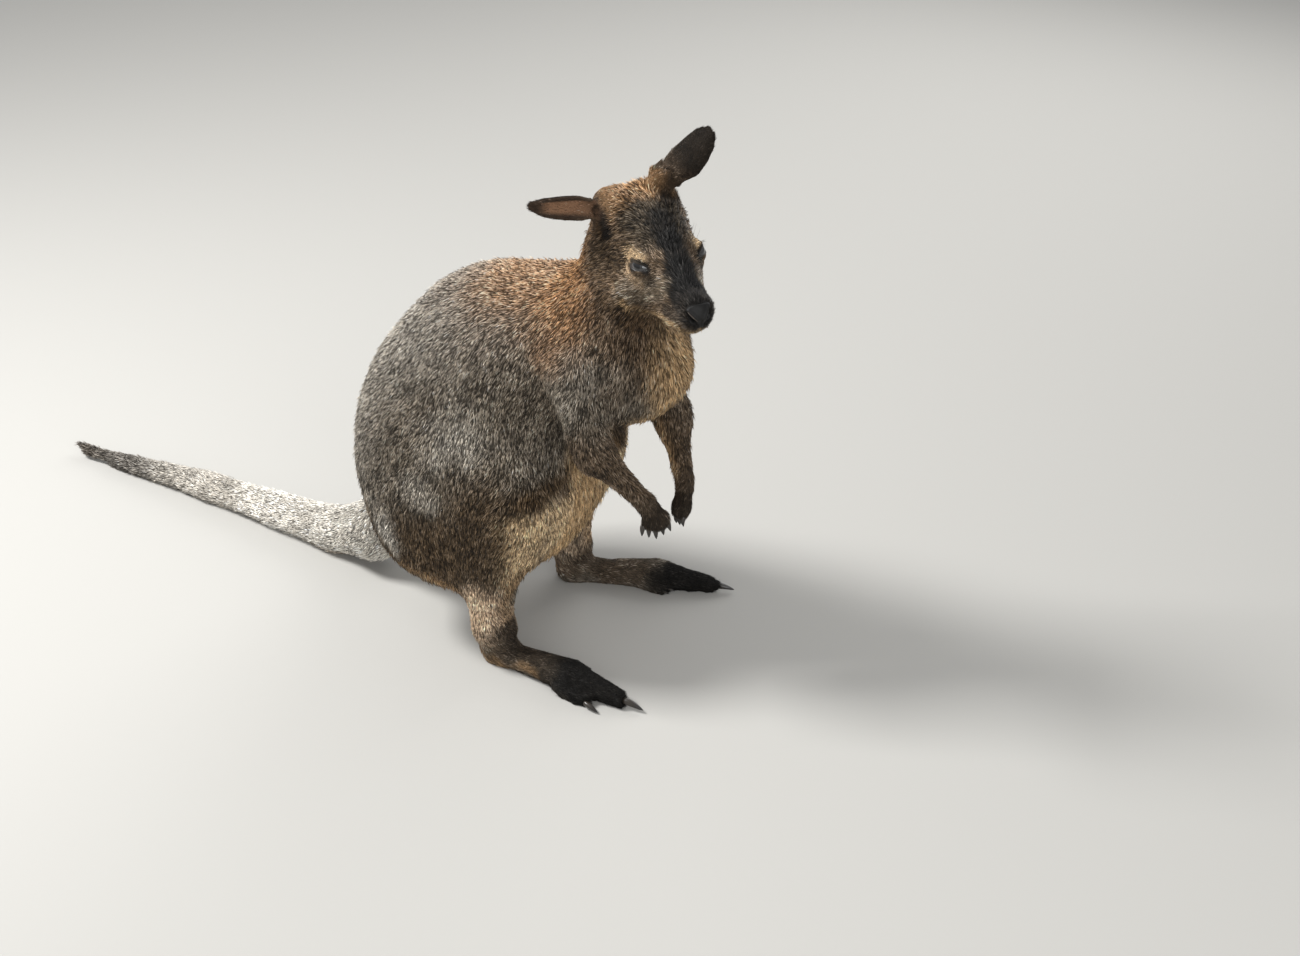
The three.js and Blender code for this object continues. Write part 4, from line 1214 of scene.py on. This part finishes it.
# the iris is a grey lighter than its own near-black brown, a painted reflection on the cornea
eyeLook = dict(pupil=0.0034, pupilEdge=0.0006, iris=0.0088, irisEdge=0.0012, bulge=0.0009,
               black=(0.002, 0.002, 0.002, 1), streak=(0.014, 0.012, 0.012, 1),
               brown=(0.04, 0.04, 0.042, 1), white=(0.1, 0.07, 0.05, 1))


def makeEye(side):
    eye = eyes[side]
    bpy.ops.object.select_all(action="DESELECT")
    bpy.ops.mesh.primitive_uv_sphere_add(segments=64, ring_count=32, radius=eyeRadius, location=eye["middle"])
    ball = bpy.context.object
    ball.name = f"eyeball_{side}"
    bpy.ops.object.transform_apply(location=True)
    points = pointsOf(ball.data)
    out = (points - eye["middle"]) @ eye["look"] / eyeRadius
    points += eye["look"] * (eyeLook["bulge"] * ramp(out, 0.7, 1.0))[:, None]
    movePoints(ball.data, points)
    bpy.ops.object.shade_smooth()
    finish = Finish(f"eye_{side}", Roughness=0.04, IOR=1.4, Specular_IOR_Level=0.6, Coat_Weight=1.0,
                    Coat_Roughness=0.02)
    place = finish.place()
    front = Vector(eye["middle"] + eyeRadius * eye["look"])
    fromFront = finish.node("ShaderNodeVectorMath", {"operation": "DISTANCE"}, 1, n0=place, n1=front)

    def beyond(part):
        radius = eyeLook[part]
        return finish.node("ShaderNodeMapRange", n0=fromFront, n1=radius, n2=radius + eyeLook[f"{part}Edge"])

    streaks = finish.node("ShaderNodeTexNoise", Vector=place, Scale=700.0, Detail=2.0)
    brown = finish.mix(streaks, eyeLook["streak"], eyeLook["brown"])
    iris = finish.mix(beyond("pupil"), eyeLook["black"], brown)
    finish.feed("Base Color", finish.mix(beyond("iris"), iris, eyeLook["white"]))
    ball.data.materials.append(finish.material)
    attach(ball, "root")
    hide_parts(f"eye_{side}")


for side in sides:
    makeEye(side)
print("eyes done")


# ---- claws

# names of the claws, colours at the base and the tip, and how much thicker than the smoothed solid
clawSets = {
    "hand": dict(claws=(1, 2, 3, 4, 5), base=(0.03, 0.024, 0.019), tip=(0.008, 0.007, 0.006), thicker=1.7),
    "foot": dict(claws=("fourth", "fifth", "third", "second"), base=(0.03, 0.024, 0.018),
                 tip=(0.01, 0.008, 0.007), thicker=1.0),
}


def clawFinish():
    finish = Finish("claw", Roughness=0.32, Specular_IOR_Level=0.5, Coat_Weight=0.15)
    grain = finish.node("ShaderNodeTexNoise", Vector=finish.place(), Scale=500.0, Detail=4.0)
    finish.feed("Base Color", finish.attribute("horn") * (0.7 + 0.6 * grain))
    return finish.material


clawMaterial = clawFinish()


def makeClaws(limb, side, pawMiddle):
    look = clawSets[limb]
    nodes = [f"claw_{limb}_{side}_{claw}" for claw in look["claws"]]
    copies = []
    for node in nodes:
        claw = copyOfNode(node)
        claw.data.materials.clear()
        applyModifier(claw, "SUBSURF", levels=2, render_levels=2)
        points = pointsOf(claw.data)
        fromPaw = fromPlace(points, pawMiddle)
        share = (fromPaw - fromPaw.min()) / (fromPaw.max() - fromPaw.min())
        share = ramp(share, 0.15, 0.95)[:, None]
        root = points[fromPaw < np.quantile(fromPaw, 0.3)].mean(axis=0)
        way = unit(points[fromPaw.argmax()] - root)
        core = root + ((points - root) @ way)[:, None] * way
        movePoints(claw.data, core + (points - core) * look["thicker"])
        addColours(claw.data, "horn", np.array(look["base"]) * (1 - share) + np.array(look["tip"]) * share)
        copies.append(claw)
    claws = joined(copies)
    claws.name = f"claws_{limb}_{side}"
    bpy.ops.object.shade_smooth()
    claws.data.materials.append(clawMaterial)
    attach(claws, "root")
    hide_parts(*nodes)


for side in sides:
    makeClaws("hand", side, paws[side]["wrist"])
    makeClaws("foot", side, legs[side]["heel"])
print("claws done")


# ---- camera, light and floor

floorLook = dict(size=60, colour=(0.42, 0.41, 0.385, 1))
bpy.ops.mesh.primitive_plane_add(size=floorLook["size"], location=(0, 0, 0))
floor = bpy.context.object
floor.name = "floor"
ground = Finish("floor", Roughness=0.8, Specular_IOR_Level=0.2, Base_Color=floorLook["colour"])
floor.data.materials.append(ground.material)


def stand(name, data, place, aim):
    # puts a camera or a lamp at a place, turned to what it aims at
    holder = bpy.data.objects.new(name, data)
    holder.location = place
    holder.rotation_mode = "QUATERNION"
    holder.rotation_quaternion = (Vector(aim) - holder.location).to_track_quat("-Z", "Y")
    bpy.context.scene.collection.objects.link(holder)
    return holder


view = dict(place=(1.1167, -1.4207, 1.2188), aim=(0.201, 0.3015, 0), lens=51.67, sensor=36)
cameraData = bpy.data.cameras.new("camera")
cameraData.lens = view["lens"]
cameraData.sensor_width = view["sensor"]
bpy.context.scene.camera = stand("camera", cameraData, view["place"], view["aim"])

lamps = {
    "key": dict(place=(-1.15, -0.65, 2.0), size=0.6, power=84),
    "fill": dict(place=(1.9, -1.4, 1.1), size=1.8, power=30),
    "back": dict(place=(0.3, 2.0, 1.4), size=1.6, power=22),
}
for name, lamp in lamps.items():
    light = bpy.data.lights.new(name, "AREA")
    light.size = lamp["size"]
    light.energy = lamp["power"]
    stand(name, light, lamp["place"], (0.16, -0.02, 0.25))
world = bpy.data.worlds.new("studio")
world.use_nodes = True
world.node_tree.nodes["Background"].inputs["Color"].default_value = (0.95, 0.97, 1.0, 1)
world.node_tree.nodes["Background"].inputs["Strength"].default_value = 0.5
bpy.context.scene.world = world
bpy.context.scene.view_settings.view_transform = "Standard"
